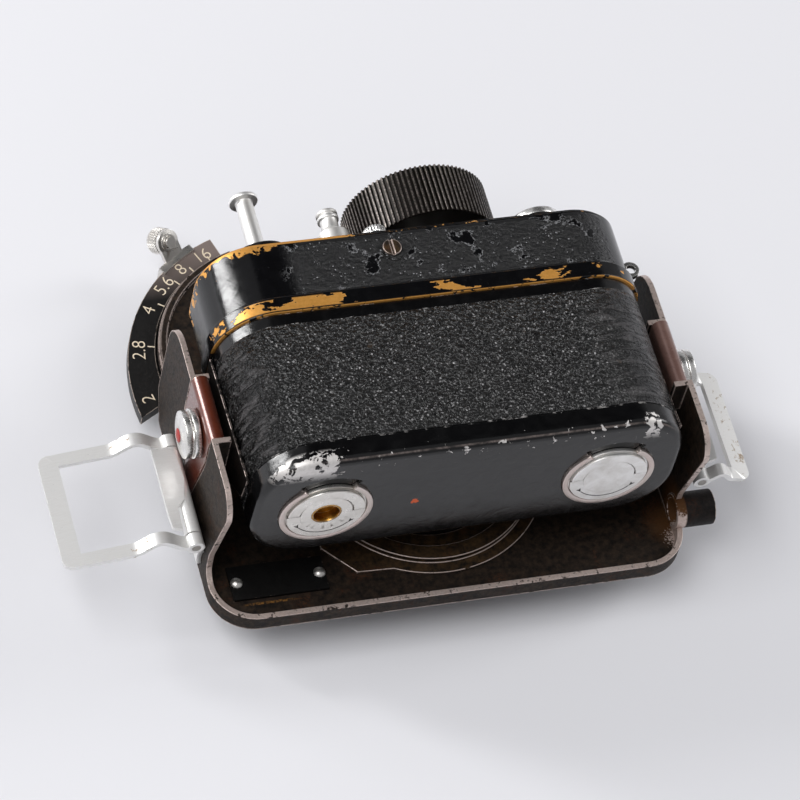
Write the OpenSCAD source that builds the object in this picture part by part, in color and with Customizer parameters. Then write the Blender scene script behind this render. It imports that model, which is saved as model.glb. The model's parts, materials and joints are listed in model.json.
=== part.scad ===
// Clockwork miniature camera held by its ends in a pressed-steel concealment bracket.
// The lens axis is Z, the winding knob points along +Y, and the camera's back faces +Z.
// The bracket's front collar stands on the plane z = 0.

/* [Camera body] */
// Width of the camera over its rounded ends
body_w = 77; // [70:0.5:80]
// Depth of the camera from front to back
body_d = 27; // [25:0.5:32]
// Height of the camera from its bottom lid to the top of its cover
body_h = 46.7; // [42:0.1:54]
// Radius of the body's four upright corners
corner_r = 10.3; // [7:0.1:12]
// Height of the lens axis above the camera's bottom
lens_height = 20.4; // [19:0.1:23]
// Wall of the body shell
shell_wall = 1.2; // [0.9:0.1:1.6]
// Thickness of the leather covering
leather_t = 0.5; // [0.3:0.05:0.9]
// Height of the bottom lid's skirt
lid_h = 4.5; // [3.5:0.1:5]
// Thickness of the bottom lid's floor
lid_floor = 1.4; // [1.2:0.1:2]

/* [Top cover] */
// Height of the top cover
cover_h = 15.4; // [14:0.1:18]
// Wall of the top cover
cover_wall = 1; // [0.7:0.1:1.4]
// Height of the bead round the cover's lower edge
bead_h = 3.3; // [2:0.1:4]
// How far the bead stands out
bead_out = 0.6; // [0.3:0.05:0.7]
// Radius of the cover screws' heads
screw_r = 1.65; // [1.2:0.05:2]

/* [Winding knob] */
// Radius of the winding knob
knob_r = 13.3; // [11:0.1:13.3]
// Height of the winding knob
knob_h = 10; // [7:0.1:12]
// Gap between the cover and the knob
knob_gap = 2.8; // [2:0.1:5]
// Offset of the knob from the lens axis
knob_x = 5.4; // [3:0.1:7]
// Number of ridges round the knob
knob_ridges = 92; // [40:1:100]

/* [Release and fittings] */
// Offset of the release rod from the lens axis
release_x = -26.6; // [-28:0.1:-24]
// Distance from the camera's back to the centres of the small top fittings
fitting_inset = 6.9; // [6.5:0.1:8]
// Radius of the release rod
release_r = 1.55; // [0.8:0.05:1.7]
// Height of the release rod above the cover
release_h = 14.6; // [12:0.1:20]
// Travel of the release rod
release_travel = 2.5; // [1.5:0.1:4]
// Radius of the flange under the release rod
release_flange_r = 5.6; // [4:0.1:6]
// Offset of the cable release post from the lens axis
post_x = -12.6; // [-15:0.1:-12]
// Height of the cable release post
post_h = 9.5; // [8:0.1:14]
// Offset of the speed dial from the lens axis
speed_x = -6.4; // [-7:0.1:-6.3]
// Radius of the speed dial
speed_r = 2.1; // [1.6:0.1:2.2]
// Direction of the frame counter from the take-up spool, from the camera's depth line
counter_lean = 16.3; // [12:0.1:20]
// Radius of the frame counter's disc
counter_r = 4.7; // [3.5:0.1:5.2]

/* [Lid locks] */
// Distance of each lock from the lens axis
lock_x = 25.5; // [24:0.1:26.5]
// Radius of the fixed lock ring
lock_ring_r = 8.3; // [7.5:0.1:8.6]
// Radius of the turning lock disc
lock_disc_r = 7.2; // [6.5:0.1:7.4]
// Distance of the locks from the camera's front
lock_depth = 12.4; // [12:0.1:13.5]

/* [Lens] */
// Radius of the lens barrel
barrel_r = 10.5; // [9:0.1:10.9]
// Clear radius of the front lens
glass_r = 6.6; // [5:0.1:7]
// Distance from the front collar's face to the lens barrel's front
barrel_setback = 2.5; // [1:0.1:4]

/* [Bracket] */
// Gap between each end of the camera and the inside of the wall beside it
wall_gap = 4; // [3.8:0.05:4.5]
// Thickness of the bracket's sheet
sheet = 1; // [0.8:0.05:1]
// Height of the bracket's floor above the plane it stands on
floor_z = 9; // [8.8:0.1:11]
// Gap from the bracket's floor to the camera's front
front_gap = 10; // [9.5:0.1:12]
// Distance from the lens axis to the bracket's near edge
pan_near = 28.2; // [26:0.1:30]
// Distance from the lens axis to the bracket's far edge
pan_far = 22; // [20.6:0.1:24]
// Height of the lip along the near edge
lip_h = 3.4; // [2:0.1:4.2]
// Height of the lower walls above the bracket's floor
wall_h = 30; // [28:0.1:31]
// Height of the ears above the bracket's floor
ear_h = 27.3; // [26.9:0.1:28]
// Radius of the cable tube
tube_r = 3.2; // [2.8:0.1:3.4]
// Bore radius of the cable tube
tube_bore = 2.4; // [1.5:0.1:2.6]
// Length of the cable tube
tube_l = 7.3; // [6:0.1:12]

/* [Front collar] */
// Outer radius of the threaded front collar
collar_r = 16.5; // [15.9:0.1:17]
// Radius of the collar's neck, which the coupling ring turns on
neck_r = 15; // [14.4:0.1:15.2]
// Bore radius of the front collar
collar_bore = 12.4; // [12.3:0.1:12.9]

/* [Aperture sector] */
// Module of the aperture gears
aperture_module = 1; // [0.9:0.01:1.01]
// Teeth on the ring round the collar
ring_teeth = 36; // [36:1:37]
// Teeth on the sector's gear
sector_teeth = 28; // [26:1:28]
// Direction of the sector's pivot from the lens axis
pivot_angle = 121; // [118:0.5:124]
// Inner radius of the scale band
band_in = 24.5; // [23.5:0.1:25]
// Radius of the scale band's outer rim, which is drawn round a point beside the pivot
rim_r = 33.2; // [32.5:0.1:34.2]
// Thickness of the scale band
band_t = 2.2; // [1.4:0.1:2.3]

/* [Strap loops] */
// Width of each strap loop
loop_w = 23; // [21:0.5:24]
// Reach of the left strap loop from its hinge
left_reach = 23.1; // [19:0.1:30]
// Reach of the right strap loop from its hinge
right_reach = 9.3; // [8.5:0.1:12]
// Thickness of the loops' plate
loop_t = 0.9; // [0.7:0.05:1.1]
// Width of each loop's outer bar
bar_w = 3.4; // [2:0.1:4]
// Radius of the loop's hinge pin
loop_pin_r = 0.8; // [0.6:0.05:0.9]

/* [Latches] */
// Radius of the latch button's flange
button_r = 4.4; // [3.5:0.1:4.6]
// How far the latch button stands out from the wall
button_out = 2.9; // [2.5:0.1:5]
// Outer radius of the fold of the latch leaf
fold_r = 1.5; // [1.3:0.05:1.6]

/* [Hidden] */
$fn = 64;

// running clearance between a shaft and its hole
running = 0.05;
// clearance of a piece that only has to pass or slide by
slip = 0.3;
// play of a fixed piece in its seat
snug = 0.02;

z_front = floor_z + sheet + front_gap;
z_mid = z_front + body_d / 2;
z_back = z_front + body_d;
z_lock = z_front + lock_depth;
z_fit = z_back - fitting_inset;
y_bottom = -lens_height;
y_top = y_bottom + body_h;
y_cover = y_top - cover_h;
y_lid = y_bottom + lid_h;
pan_top = floor_z + sheet;
wall_x = body_w / 2 + wall_gap + sheet;
knob_y = y_top + knob_gap;
inner_w = body_w - 2 * leather_t - 2 * shell_wall;
inner_d = body_d - 2 * leather_t - 2 * shell_wall;
inner_r = corner_r - leather_t - shell_wall;

// leather covering
leather_start = y_lid + 0.2;
leather_end = y_cover - 2.3;

// gears
pivot_dist = aperture_module * (ring_teeth + sector_teeth) / 2;
pivot_x = pivot_dist * cos(pivot_angle);
pivot_y = pivot_dist * sin(pivot_angle);
train_module = 0.65;
barrel_teeth = 34;
spool_teeth = 29;
spool_x = knob_x + train_module * (barrel_teeth + spool_teeth) / 2;
cassette_x = -spool_x;
counter_module = 0.5;
counter_teeth = 14;
pinion_teeth = 20;
counter_dist = counter_module * (counter_teeth + pinion_teeth) / 2;
counter_x = spool_x - counter_dist * sin(counter_lean);
z_counter = z_mid + counter_dist * cos(counter_lean);
counter_gear_y = y_cover + 6.6;
plate_low = y_cover + 1.6;
plate_high = plate_low + 1;

// stack under the bracket's floor
shoulder_z = floor_z - 4;
ring_low = shoulder_z + 0.2;
ring_high = floor_z - 0.2;
band_high = floor_z - 0.4;
band_low = band_high - band_t;
stud_r = 3;
// direction of the coupling ring's dog at rest
dog_angle = 190;

// scale band, in degrees round the pivot
band_start = 107;
band_end = 193;
// the low end leans on outwards to this direction
band_lean = 199.9;
lug_angle = 123.5;
lobe_r = band_in - 0.4;
// the point round which the band's outer rim is drawn, from the pivot
rim_x = 3.1;
rim_y = -3.5;

// film
film_z = z_back - 4.9;
// the film fills the room between the lid and the cover
film_w = y_cover - y_lid - 5.8;
film_half = film_w / 2;
chamber_y = (y_lid + y_cover) / 2;
// lower end of the spindles that the locks hold
spindle_y = y_lid - 1.6;

// notch in each wall for the latch
notch_low = -7.4;
notch_high = 6.6;
notch_foot = -1.9;
ear_far = 20.1;
button_y = -1.2;
button_z = pan_top + 21.7;
leaf_low = pan_top + 0.6;
rivet_y = -2;
rivet_z = leaf_low + 2.4;
leaf_t = 0.5;
leaf_in = wall_x - 2 * fold_r;
leaf_top = pan_top + 28 - fold_r;
bead_r = 0.45;

// strap loop hinge
hinge_x = wall_x + 2.7;
hinge_z = pan_top + 11.3;
loop_y = -6.4;
arm_w = 2.4;
knuckle_r = loop_pin_r + 0.7;
plate_w = loop_w - 2 * arm_w - 0.6;
// height of a loop's flat frame over its pin, and how far each loop hangs below the level
loop_lift = 1.6;
left_droop = 8;
right_droop = 18;

// points on an arc, for outlines
function arc(cx, cy, r, a0, a1, n = 8) =
    [for (i = [0:n]) [cx + r * cos(a0 + (a1 - a0) * i / n), cy + r * sin(a0 + (a1 - a0) * i / n)]];

// one flank point of an involute tooth at radius r, as an angle from the tooth's middle
function involute(rb, r) = let (t = sqrt(max(0, pow(r / rb, 2) - 1))) t * 180 / PI - atan(t);
function flank_angle(m, teeth, r, play) =
    let (rp = m * teeth / 2, rb = rp * cos(20))
    90 / teeth - play / rp * 90 / PI + involute(rb, rp) - involute(rb, max(r, rb));
function tooth(m, teeth, play) =
    let (rp = m * teeth / 2, root = rp - 1.2 * m, tip = rp + 0.9 * m, base = max(rp * cos(20), root))
    let (rs = [root, base + 0.01, (base + rp) / 2, rp, (rp + tip) / 2, tip])
    concat([for (r = rs) [r, -flank_angle(m, teeth, r, play)]],
        [for (i = [len(rs) - 1:-1:0]) [rs[i], flank_angle(m, teeth, rs[i], play)]]);
function gear_points(m, teeth, play = 0.08) =
    let (t = tooth(m, teeth, play))
    [for (k = [0:teeth - 1]) for (p = t)
        [p[0] * cos(p[1] + k * 360 / teeth), p[0] * sin(p[1] + k * 360 / teeth)]];

// distance from the sector's pivot to the band's outer rim in one direction
function rim_at(a) =
    rim_x * cos(a) + rim_y * sin(a) + sqrt(pow(rim_r, 2) - pow(rim_x * sin(a) - rim_y * cos(a), 2));

// a line moved sideways by a distance, for strips of even thickness
function beside(path, d) =
    [for (i = [0:len(path) - 1])
        let (a = path[max(i - 1, 0)], b = path[min(i + 1, len(path) - 1)], l = norm(b - a))
        [path[i][0] - d * (b[1] - a[1]) / l, path[i][1] + d * (b[0] - a[0]) / l]];

// a shape drawn in X and Y stood up so that it runs along +Y from the given height
module along_y(x, y, z) {
    translate([x, y, z]) rotate([-90, 0, 0]) children();
}

// a cylinder along +Y
module post(x, y, z, r, h) {
    along_y(x, y, z) cylinder(r = r, h = h);
}

// a cylinder along +X
module bar(x, y, z, r, h) {
    translate([x, y, z]) rotate([0, 90, 0]) cylinder(r = r, h = h);
}

// rectangle with true round corners
module rounded_rect(w, d, r) {
    square([w - 2 * r, d], center = true);
    square([w, d - 2 * r], center = true);
    for (x = [-1, 1], y = [-1, 1])
        translate([x * (w / 2 - r), y * (d / 2 - r)]) circle(r);
}

// prism with the body's plan, grown by an amount all round
module body_prism(y, h, grow = 0) {
    along_y(0, y, z_mid) linear_extrude(h)
        rounded_rect(body_w + 2 * grow, body_d + 2 * grow, corner_r + grow);
}

// part of a ring between two angles
module ring_sector(r_in, r_out, a0, a1) {
    intersection() {
        difference() {
            circle(r_out);
            circle(r_in);
        }
        polygon(concat([[0, 0]], arc(0, 0, r_out * 1.3, a0, a1, 6)));
    }
}

module gear(m, teeth, h) {
    linear_extrude(h) polygon(gear_points(m, teeth));
}

// Bracket

module pan_outline(inset) {
    r = 8 - inset;
    rf = 6 - inset;
    w = wall_x - inset;
    translate([-w, -pan_near + 8]) square([2 * w, pan_near + pan_far - 14]);
    translate([-w + r, -pan_near + inset]) square([2 * (w - r), 8.1]);
    translate([-w + rf, 0]) square([2 * (w - rf), pan_far - inset]);
    for (s = [-1, 1]) {
        translate([s * (w - r), -pan_near + 8]) circle(r);
        translate([s * (w - rf), pan_far - 6]) circle(rf);
    }
}

// side view of one wall in Y and Z, with its notch and its ear
module wall_outline() {
    top = pan_top + wall_h - 1;
    ear = pan_top + ear_h - 0.8;
    near = -pan_near + 6.8;
    polygon(concat(
        [[-pan_near + 8, floor_z], [-pan_near + 8, floor_z + lip_h]],
        arc(-pan_near + 8, floor_z + lip_h + 2.5, 2.5, 270, 360, 5),
        [[-17.6, pan_top + 8], [-19.5, pan_top + 16]],
        arc(near + 5, top - 5, 5, 180, 90, 7),
        [[notch_low, top], [notch_low, pan_top + 21], [notch_foot - 2.1, pan_top + 6.6],
            [notch_foot - 1.3, pan_top + 5.8], [notch_foot + 1, pan_top + 5.8],
            [notch_foot + 2.1, pan_top + 6.6], [notch_high, pan_top + 18], [notch_high, ear]],
        arc(ear_far - 6, ear - 6, 6, 90, 0, 7),
        [[ear_far, floor_z + 6], [ear_far - 4, floor_z]]));
}

// a wall with the tabs that turn in at its notch, on the +X side
module wall() {
    translate([wall_x - sheet, 0, 0]) rotate([90, 0, 90]) linear_extrude(sheet) wall_outline();
    translate([wall_x - 3.4, notch_low - sheet, pan_top + 21.5]) cube([3.4, sheet, wall_h - 22.5]);
    translate([wall_x - 3.4, notch_high, pan_top + 18.5]) cube([3.4, sheet, ear_h - 19.3]);
}

module mount_bracket() color("#3a3432") difference() {
    union() {
        translate([0, 0, floor_z]) linear_extrude(sheet) {
            pan_outline(0);
            translate([pivot_x, pivot_y]) {
                ring_sector(0, lobe_r, 103, 190);
                circle(9);
            }
        }
        translate([0, 0, floor_z]) linear_extrude(lip_h) intersection() {
            difference() {
                pan_outline(0);
                pan_outline(sheet);
            }
            translate([-60, -60]) square([120, 60 - pan_near + 8]);
        }
        translate([pivot_x, pivot_y, pan_top - 0.3]) linear_extrude(1.1)
            ring_sector(lobe_r - 1.5, lobe_r - 0.3, 105, 186);
        wall();
        mirror([1, 0, 0]) wall();
    }
    translate([0, 0, floor_z - 1]) cylinder(r = neck_r + snug, h = sheet + 2);
    translate([pivot_x, pivot_y, floor_z - 1]) cylinder(r = 2 + snug, h = sheet + 2);
    bar(wall_x - 6, tube_y, tube_z, tube_r + snug, 10);
    for (s = [-1, 1])
        bar(s * wall_x - 3, rivet_y, rivet_z, 0.8 + snug, 6);
    for (x = plate_rivet_x)
        translate([x, plate_y, floor_z - 1]) cylinder(r = 0.7 + snug, h = sheet + 2);
}

// lens board and raised ring on the bracket's floor
board_t = 0.6;
module lens_board() color("#2b2725") difference() {
    union() {
        translate([0, 0, pan_top]) linear_extrude(board_t) {
            circle(r = 22.8);
            polygon([[0, -21], [-16.3, -20.4], [-21.6, -14.6], [-21.6, 10], [0, 20]]);
        }
        translate([0, 0, pan_top]) cylinder(r = 20.6, h = board_t + 1.2);
    }
    translate([0, 0, pan_top - 1]) cylinder(r = neck_r + snug, h = 4);
    translate([0, 0, pan_top + board_t + 0.4]) cylinder(r = 17.8, h = 4);
}

plate_w2 = 17.2;
plate_h2 = 6.8;
plate_x = -30.6;
plate_y = -19.4;
plate_t = 0.6;
plate_rivet_x = [plate_x - 7.4, plate_x + 7.6];
module number_plate() color("#141312") difference() {
    translate([plate_x - plate_w2 / 2, plate_y - plate_h2 / 2, pan_top])
        cube([plate_w2, plate_h2, plate_t]);
    for (x = plate_rivet_x)
        translate([x, plate_y, pan_top - 1]) cylinder(r = 0.7 + snug, h = 3);
}

module plate_rivets() color("#b9b7b2") for (x = plate_rivet_x) {
    translate([x, plate_y, floor_z]) cylinder(r = 0.7, h = sheet + plate_t);
    translate([x, plate_y, pan_top + plate_t]) intersection() {
        cylinder(r = 1.1, h = 1);
        translate([0, 0, -0.6]) sphere(r = 1.3);
    }
}

tube_y = -18;
tube_z = pan_top + tube_r + 0.02;
module cable_tube() color("#4a4644") difference() {
    bar(wall_x - 1.3, tube_y, tube_z, tube_r, tube_l);
    bar(wall_x - 2.3, tube_y, tube_z, tube_bore, tube_l + 2);
}

// threaded collar on the bracket's front, with the window for the coupling ring's dog
module front_collar() color("#2e2c2b") difference() {
    union() {
        cylinder(r = collar_r, h = 2);
        cylinder(r = collar_r - 0.5, h = shoulder_z);
        for (k = [0:1])
            translate([0, 0, 2.5 + k]) cylinder(r = collar_r, h = 0.5);
        translate([0, 0, shoulder_z - 0.6]) cylinder(r = collar_r, h = 0.6);
        cylinder(r = neck_r, h = pan_top + board_t);
    }
    translate([0, 0, -1]) cylinder(r = collar_bore, h = pan_top + 4);
    translate([0, 0, shoulder_z + 0.6]) linear_extrude(3)
        ring_sector(collar_bore - 1, neck_r + 1, dog_angle - 15, dog_angle + 61);
}

// thin plate that guides one end of the camera
guide_x = body_w / 2 + slip;
module guide() {
    translate([guide_x, 0, 0]) rotate([90, 0, 90]) linear_extrude(0.4) polygon([
        [y_cover - slip, pan_top], [y_cover - slip, pan_top + 26.2], [-16.2, pan_top + 28.2],
        [-15.4, pan_top + 22.2], [-5, pan_top + 14], [-5, pan_top]]);
    translate([guide_x - 4, 0, pan_top]) cube([4, 8, 0.5]);
}
module left_guide() color("#1c1a19") mirror([1, 0, 0]) guide();
module right_guide() color("#1c1a19") guide();

// pillars that the camera's front rests on
module rest_posts() color("#4d4a48") for (x = [-26, 26], y = [-11, 2])
    translate([x, y, pan_top]) cylinder(r = 1.8, h = front_gap);

// hinge on one wall: a bent plate whose rolled edge holds the strap loop's pin
module loop_hinge() {
    y0 = loop_y - plate_w / 2;
    difference() {
        union() {
            translate([0, y0 + plate_w, 0]) rotate([90, 0, 0]) linear_extrude(plate_w) polygon([
                [wall_x, pan_top + 1.5], [wall_x + 0.8, pan_top + 1.5], [wall_x + 0.8, pan_top + 5.2],
                [hinge_x + 0.4, hinge_z - 1.2], [hinge_x - 0.6, hinge_z - 1.2],
                [wall_x + 0.3, pan_top + 6.2], [wall_x + 0.3, pan_top + 5.5], [wall_x, pan_top + 5.5]]);
            post(hinge_x, y0, hinge_z, knuckle_r, plate_w);
            translate([wall_x, y0, hinge_z + knuckle_r - 0.6]) linear_extrude(0.8) polygon([
                [4.6, 0.6], [6.2, 1], [6.4, 3.6], [6.4, plate_w], [5, plate_w - 0.4],
                [3.4, plate_w], [2.4, plate_w - 2], [2, plate_w - 7], [3, 6.4], [4.4, 5.2]]);
        }
        post(hinge_x, y0 - 1, hinge_z, loop_pin_r + snug, plate_w + 2);
        bar(wall_x - 1, rivet_y, rivet_z, 1.7, 3);
        bar(wall_x - 1, tube_y, tube_z, tube_r + slip, 3);
    }
}
module left_loop_hinge() color("#c9c8c4") mirror([1, 0, 0]) loop_hinge();
module right_loop_hinge() color("#c9c8c4") loop_hinge();

module loop_pins() color("#8d8b87") for (s = [-1, 1])
    post(s * hinge_x, loop_y - loop_w / 2, hinge_z, loop_pin_r, loop_w);

// rivets of the latch leaves, with a shoulder between each leaf and its wall
module latch_rivets() color("#8d8b87") for (s = [-1, 1]) mirror([s < 0 ? 1 : 0, 0, 0]) {
    bar(leaf_in - 0.3, rivet_y, rivet_z, 0.8, wall_x - leaf_in + 0.4);
    bar(leaf_in - 0.6, rivet_y, rivet_z, 1.5, 0.5);
    bar(leaf_in + 1, rivet_y, rivet_z, 1.3, wall_x - sheet - leaf_in - 1);
    bar(wall_x, rivet_y, rivet_z, 1.4, 0.4);
}

// Strap loops

// stamped frame of a strap loop on the +X side; its arms rise in a hump and run down to the pin
module loop_frame(reach, droop) {
    y0 = loop_y - loop_w / 2;
    rise = min(11, reach - bar_w - 0.4);
    k = rise / 11;
    path = [for (i = [0:22])
        let (u = 0.6 + 10.4 * i / 22, e = min(u / 5.5, 1), hump = 1 + cos(min(abs(u - 6.2) / 4.6, 1) * 180))
        [u * k, loop_lift * e * e * (3 - 2 * e) + 0.975 * k * hump]];
    outer = beside(path, loop_t / 2);
    inner = beside(path, -loop_t / 2);
    translate([hinge_x, 0, hinge_z]) rotate([0, droop, 0]) difference() {
        union() {
            for (y = [y0, y0 + loop_w - arm_w]) {
                translate([0, y + arm_w, 0]) rotate([90, 0, 0]) linear_extrude(arm_w)
                    polygon(concat(outer, [for (i = [len(inner) - 1:-1:0]) inner[i]]));
                post(0, y, 0, knuckle_r, arm_w);
            }
            translate([0, 0, loop_lift - loop_t / 2]) linear_extrude(loop_t) difference() {
                union() {
                    translate([rise - 0.2, y0]) square([reach - 1.8 - rise + 0.2, loop_w]);
                    translate([rise - 0.2, y0 + 1.8]) square([reach - rise + 0.2, loop_w - 3.6]);
                    for (y = [y0 + 1.8, y0 + loop_w - 1.8])
                        translate([reach - 1.8, y]) circle(1.8);
                }
                translate([rise - 1, y0 + arm_w]) square([reach - bar_w - rise + 1, loop_w - 2 * arm_w]);
            }
        }
        post(0, y0 - 1, 0, loop_pin_r + running, loop_w + 2);
    }
}
module left_strap_loop() color("#d9d9d6") mirror([1, 0, 0]) loop_frame(left_reach, left_droop);
module right_strap_loop() color("#d9d9d6") loop_frame(right_reach, right_droop);

// Latches

// leaf spring on the +X side, folded over at its top: its inner leg is riveted low down,
// its outer leg fills the notch, and the rib across its foot is the line that it bends about
module latch_leaf() {
    low = notch_low + 0.35;
    high = notch_high - 0.35;
    difference() {
        union() {
            translate([wall_x - leaf_t, 0, 0]) rotate([90, 0, 90]) linear_extrude(leaf_t)
                polygon([[low, leaf_top], [low, pan_top + 21.1], [notch_foot - 1.8, pan_top + 7],
                    [notch_foot - 1.1, pan_top + 6.2], [notch_foot + 0.8, pan_top + 6.2],
                    [notch_foot + 1.8, pan_top + 7], [high, pan_top + 18.2], [high, leaf_top]]);
            translate([leaf_in, 0, 0]) rotate([90, 0, 90]) linear_extrude(leaf_t)
                polygon([[low, leaf_top], [low, pan_top + 18], [rivet_y - 2.6, leaf_low],
                    [rivet_y + 2.6, leaf_low], [high, pan_top + 18], [high, leaf_top]]);
            post(leaf_in + bead_r, rivet_y - 2.5, rivet_z, bead_r, 5);
            intersection() {
                difference() {
                    post(wall_x - fold_r, low, leaf_top, fold_r, high - low);
                    post(wall_x - fold_r, low - 1, leaf_top, fold_r - leaf_t, high - low + 2);
                }
                translate([leaf_in - 1, low, leaf_top]) cube([6, high - low, 3]);
            }
        }
        bar(leaf_in - 1, rivet_y, rivet_z, 1.1, 3);
    }
}
module left_latch_leaf() color("#6b3a2c") mirror([1, 0, 0]) latch_leaf();
module right_latch_leaf() color("#8a5c4c") latch_leaf();

// two-step push button on the +X side
module latch_button() {
    bar(wall_x, button_y, button_z, 2.2, button_out - 0.5);
    bar(wall_x + 0.3, button_y, button_z, button_r, 1.1);
    bar(wall_x + 1.4, button_y, button_z, button_r - 0.7, 0.3);
    bar(wall_x + 1.7, button_y, button_z, button_r - 0.2, button_out - 1.7);
}
module left_latch_button() color("#cfcfcd") mirror([1, 0, 0]) latch_button();
module right_latch_button() color("#cfcfcd") latch_button();

// Aperture sector

module sector_stud() color("#6f6c68") translate([pivot_x, pivot_y, 0]) {
    translate([0, 0, ring_low - 0.9]) cylinder(r = 4.6, h = 0.7);
    translate([0, 0, ring_low - 0.3]) cylinder(r = stud_r, h = floor_z - ring_low + 0.3);
    translate([0, 0, floor_z - 0.1]) cylinder(r = 2, h = sheet + 0.1);
    translate([0, 0, pan_top]) cylinder(r = 3, h = 0.5);
}

// part of the band's outline near its outer rim, between two directions from the pivot
module rim_part(r_in, r_out, a0, a1) {
    intersection() {
        translate([rim_x, rim_y]) difference() {
            circle(r_out);
            circle(r_in);
        }
        polygon(concat([[0, 0]], arc(0, 0, 48, a0, a1, 3)));
    }
}

module aperture_sector() color("#23211f") translate([pivot_x, pivot_y, 0]) {
    translate([0, 0, band_low]) linear_extrude(band_t) intersection() {
        difference() {
            translate([rim_x, rim_y]) circle(rim_r);
            circle(band_in);
        }
        polygon(concat([[0, 0]], arc(0, 0, 48, band_start, 190, 6),
            [[40 * cos(band_lean), 40 * sin(band_lean)], [23 * cos(band_end), 23 * sin(band_end)]]));
    }
    difference() {
        translate([0, 0, band_low]) linear_extrude(0.8) {
            ring_sector(0, band_in + 0.2, band_start + 6, band_end - 6);
            circle(8);
        }
        translate([0, 0, band_low - 1]) cylinder(r = stud_r + running, h = 4);
        for (a = [130, 152.5, 175])
            rotate(a) translate([17, 0, band_low - 1]) cylinder(r = 2.6, h = 4);
    }
}

// the gear is turned by half a tooth so that it meshes with the ring at rest
module sector_gear() color("#8b6d3a") translate([pivot_x, pivot_y, ring_low]) difference() {
    rotate(pivot_angle + 180 + 180 / sector_teeth) gear(aperture_module, sector_teeth, band_low - ring_low);
    translate([0, 0, -1]) cylinder(r = stud_r + running, h = 4);
}

module coupling_ring() color("#9a7a44") {
    translate([0, 0, ring_low]) difference() {
        rotate(pivot_angle) gear(aperture_module, ring_teeth, ring_high - ring_low);
        translate([0, 0, -1]) cylinder(r = neck_r + running, h = 6);
    }
    rotate(dog_angle) translate([collar_bore - 0.6, -0.9, shoulder_z + 1])
        cube([neck_r - collar_bore + 1.4, 1.8, 1.8]);
}

// clip on the band's rim with the lug for the remote cable
lug_tilt = 50;
lug_base = rim_at(lug_angle) + 0.4;
lug_l = 3.7;
module cable_lug() color("#b9b8b4") translate([pivot_x, pivot_y, 0]) {
    translate([0, 0, band_low - 0.6]) linear_extrude(band_t + 1.2)
        rim_part(rim_r, rim_r + 0.8, lug_angle - 8, lug_angle + 8);
    translate([0, 0, band_high]) linear_extrude(0.6)
        rim_part(rim_r - 0.6, rim_r + 0.8, lug_angle - 8, lug_angle + 8);
    translate([0, 0, band_low - 0.6]) linear_extrude(0.6)
        rim_part(rim_r - 1.6, rim_r + 0.8, lug_angle - 8, lug_angle + 8);
    rotate(lug_angle) translate([lug_base, 0, band_high]) rotate([0, -lug_tilt, 0]) difference() {
        union() {
            translate([0.1, -2.1, -0.4]) cube([lug_l, 4.2, 0.8]);
            translate([lug_l, 0, -0.4]) cylinder(r = 2.3, h = 0.8);
            translate([lug_l, 0, 0.3]) cylinder(r = 1.6, h = 0.4);
        }
        translate([lug_l, 0, -1]) cylinder(r = 1.1, h = 2);
    }
}

module clamp_wheel() color("#a9a59b") translate([pivot_x, pivot_y, 0])
    rotate(lug_angle) translate([lug_base, 0, band_high]) rotate([0, -lug_tilt, 0])
    translate([lug_l, 0, 0]) {
        translate([0, 0, -2.9]) linear_extrude(2.4)
            polygon([for (i = [0:63]) let (r = i % 2 == 0 ? 2.45 : 2.25)
                [r * cos(i * 360 / 64), r * sin(i * 360 / 64)]]);
        translate([0, 0, -0.6]) cylinder(r = 1.1 - running, h = 1.9);
    }

// Camera

module body_shell() color("#191817") difference() {
    union() {
        body_prism(y_lid + 0.1, leather_start - y_lid - 0.1);
        body_prism(leather_start, leather_end - leather_start, -leather_t);
        body_prism(leather_end, y_cover - leather_end);
        body_prism(y_cover, 1.6, -cover_wall - 0.1);
        body_prism(y_bottom + lid_floor + 0.1, lid_h - lid_floor + 0.2, -cover_wall - 0.1);
    }
    along_y(0, y_bottom, z_mid) linear_extrude(body_h) rounded_rect(inner_w, inner_d, inner_r);
    translate([0, 0, z_front - 1]) cylinder(r = tail_r + snug, h = 8);
}

module leather_wrap() color("#26231f") difference() {
    body_prism(leather_start, leather_end - leather_start);
    body_prism(leather_start - 1, leather_end - leather_start + 2, -leather_t);
    translate([0, 0, z_front - 1]) cylinder(r = tail_r + snug, h = 2);
}

module top_cover() color("#1a1817") difference() {
    union() {
        body_prism(y_cover, cover_h - 0.6);
        body_prism(y_cover, bead_h, bead_out);
        body_prism(y_top - 0.6, 0.6, -0.5);
    }
    body_prism(y_cover - 1, cover_h - 0.4, -cover_wall);
    post(knob_x, y_top - 3, z_mid, 4, 6);
    post(release_x, y_top - 3, z_fit, 2 + snug, 6);
    post(post_x, y_top - 3, z_fit, 1.2 + snug, 6);
    post(speed_x, y_top - 3, z_speed, 0.8 + running, 6);
    post(counter_x, y_top - 3, z_counter, 1 + running, 6);
    for (s = [-1, 1])
        translate([screw_x, screw_y, z_mid + s * body_d / 2]) cylinder(r = 1 + snug, h = 6, center = true);
    bar(body_w / 2 - 2, eyelet_y, z_mid + 3, 0.9 + snug, 4);
}

z_speed = z_back - speed_r - 0.7;
screw_x = -5.1;
screw_y = y_top - 4.3;
module cover_screws() color("#4b443c") for (s = [-1, 1])
    translate([screw_x, screw_y, z_mid]) rotate([s < 0 ? 180 : 0, 0, 0]) difference() {
        union() {
            translate([0, 0, body_d / 2]) cylinder(r = screw_r, h = 0.4);
            translate([0, 0, body_d / 2 - 2.6]) cylinder(r = 1, h = 2.8);
        }
        translate([-0.25, -3, body_d / 2 + 0.15]) cube([0.5, 6, 1]);
    }

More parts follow.
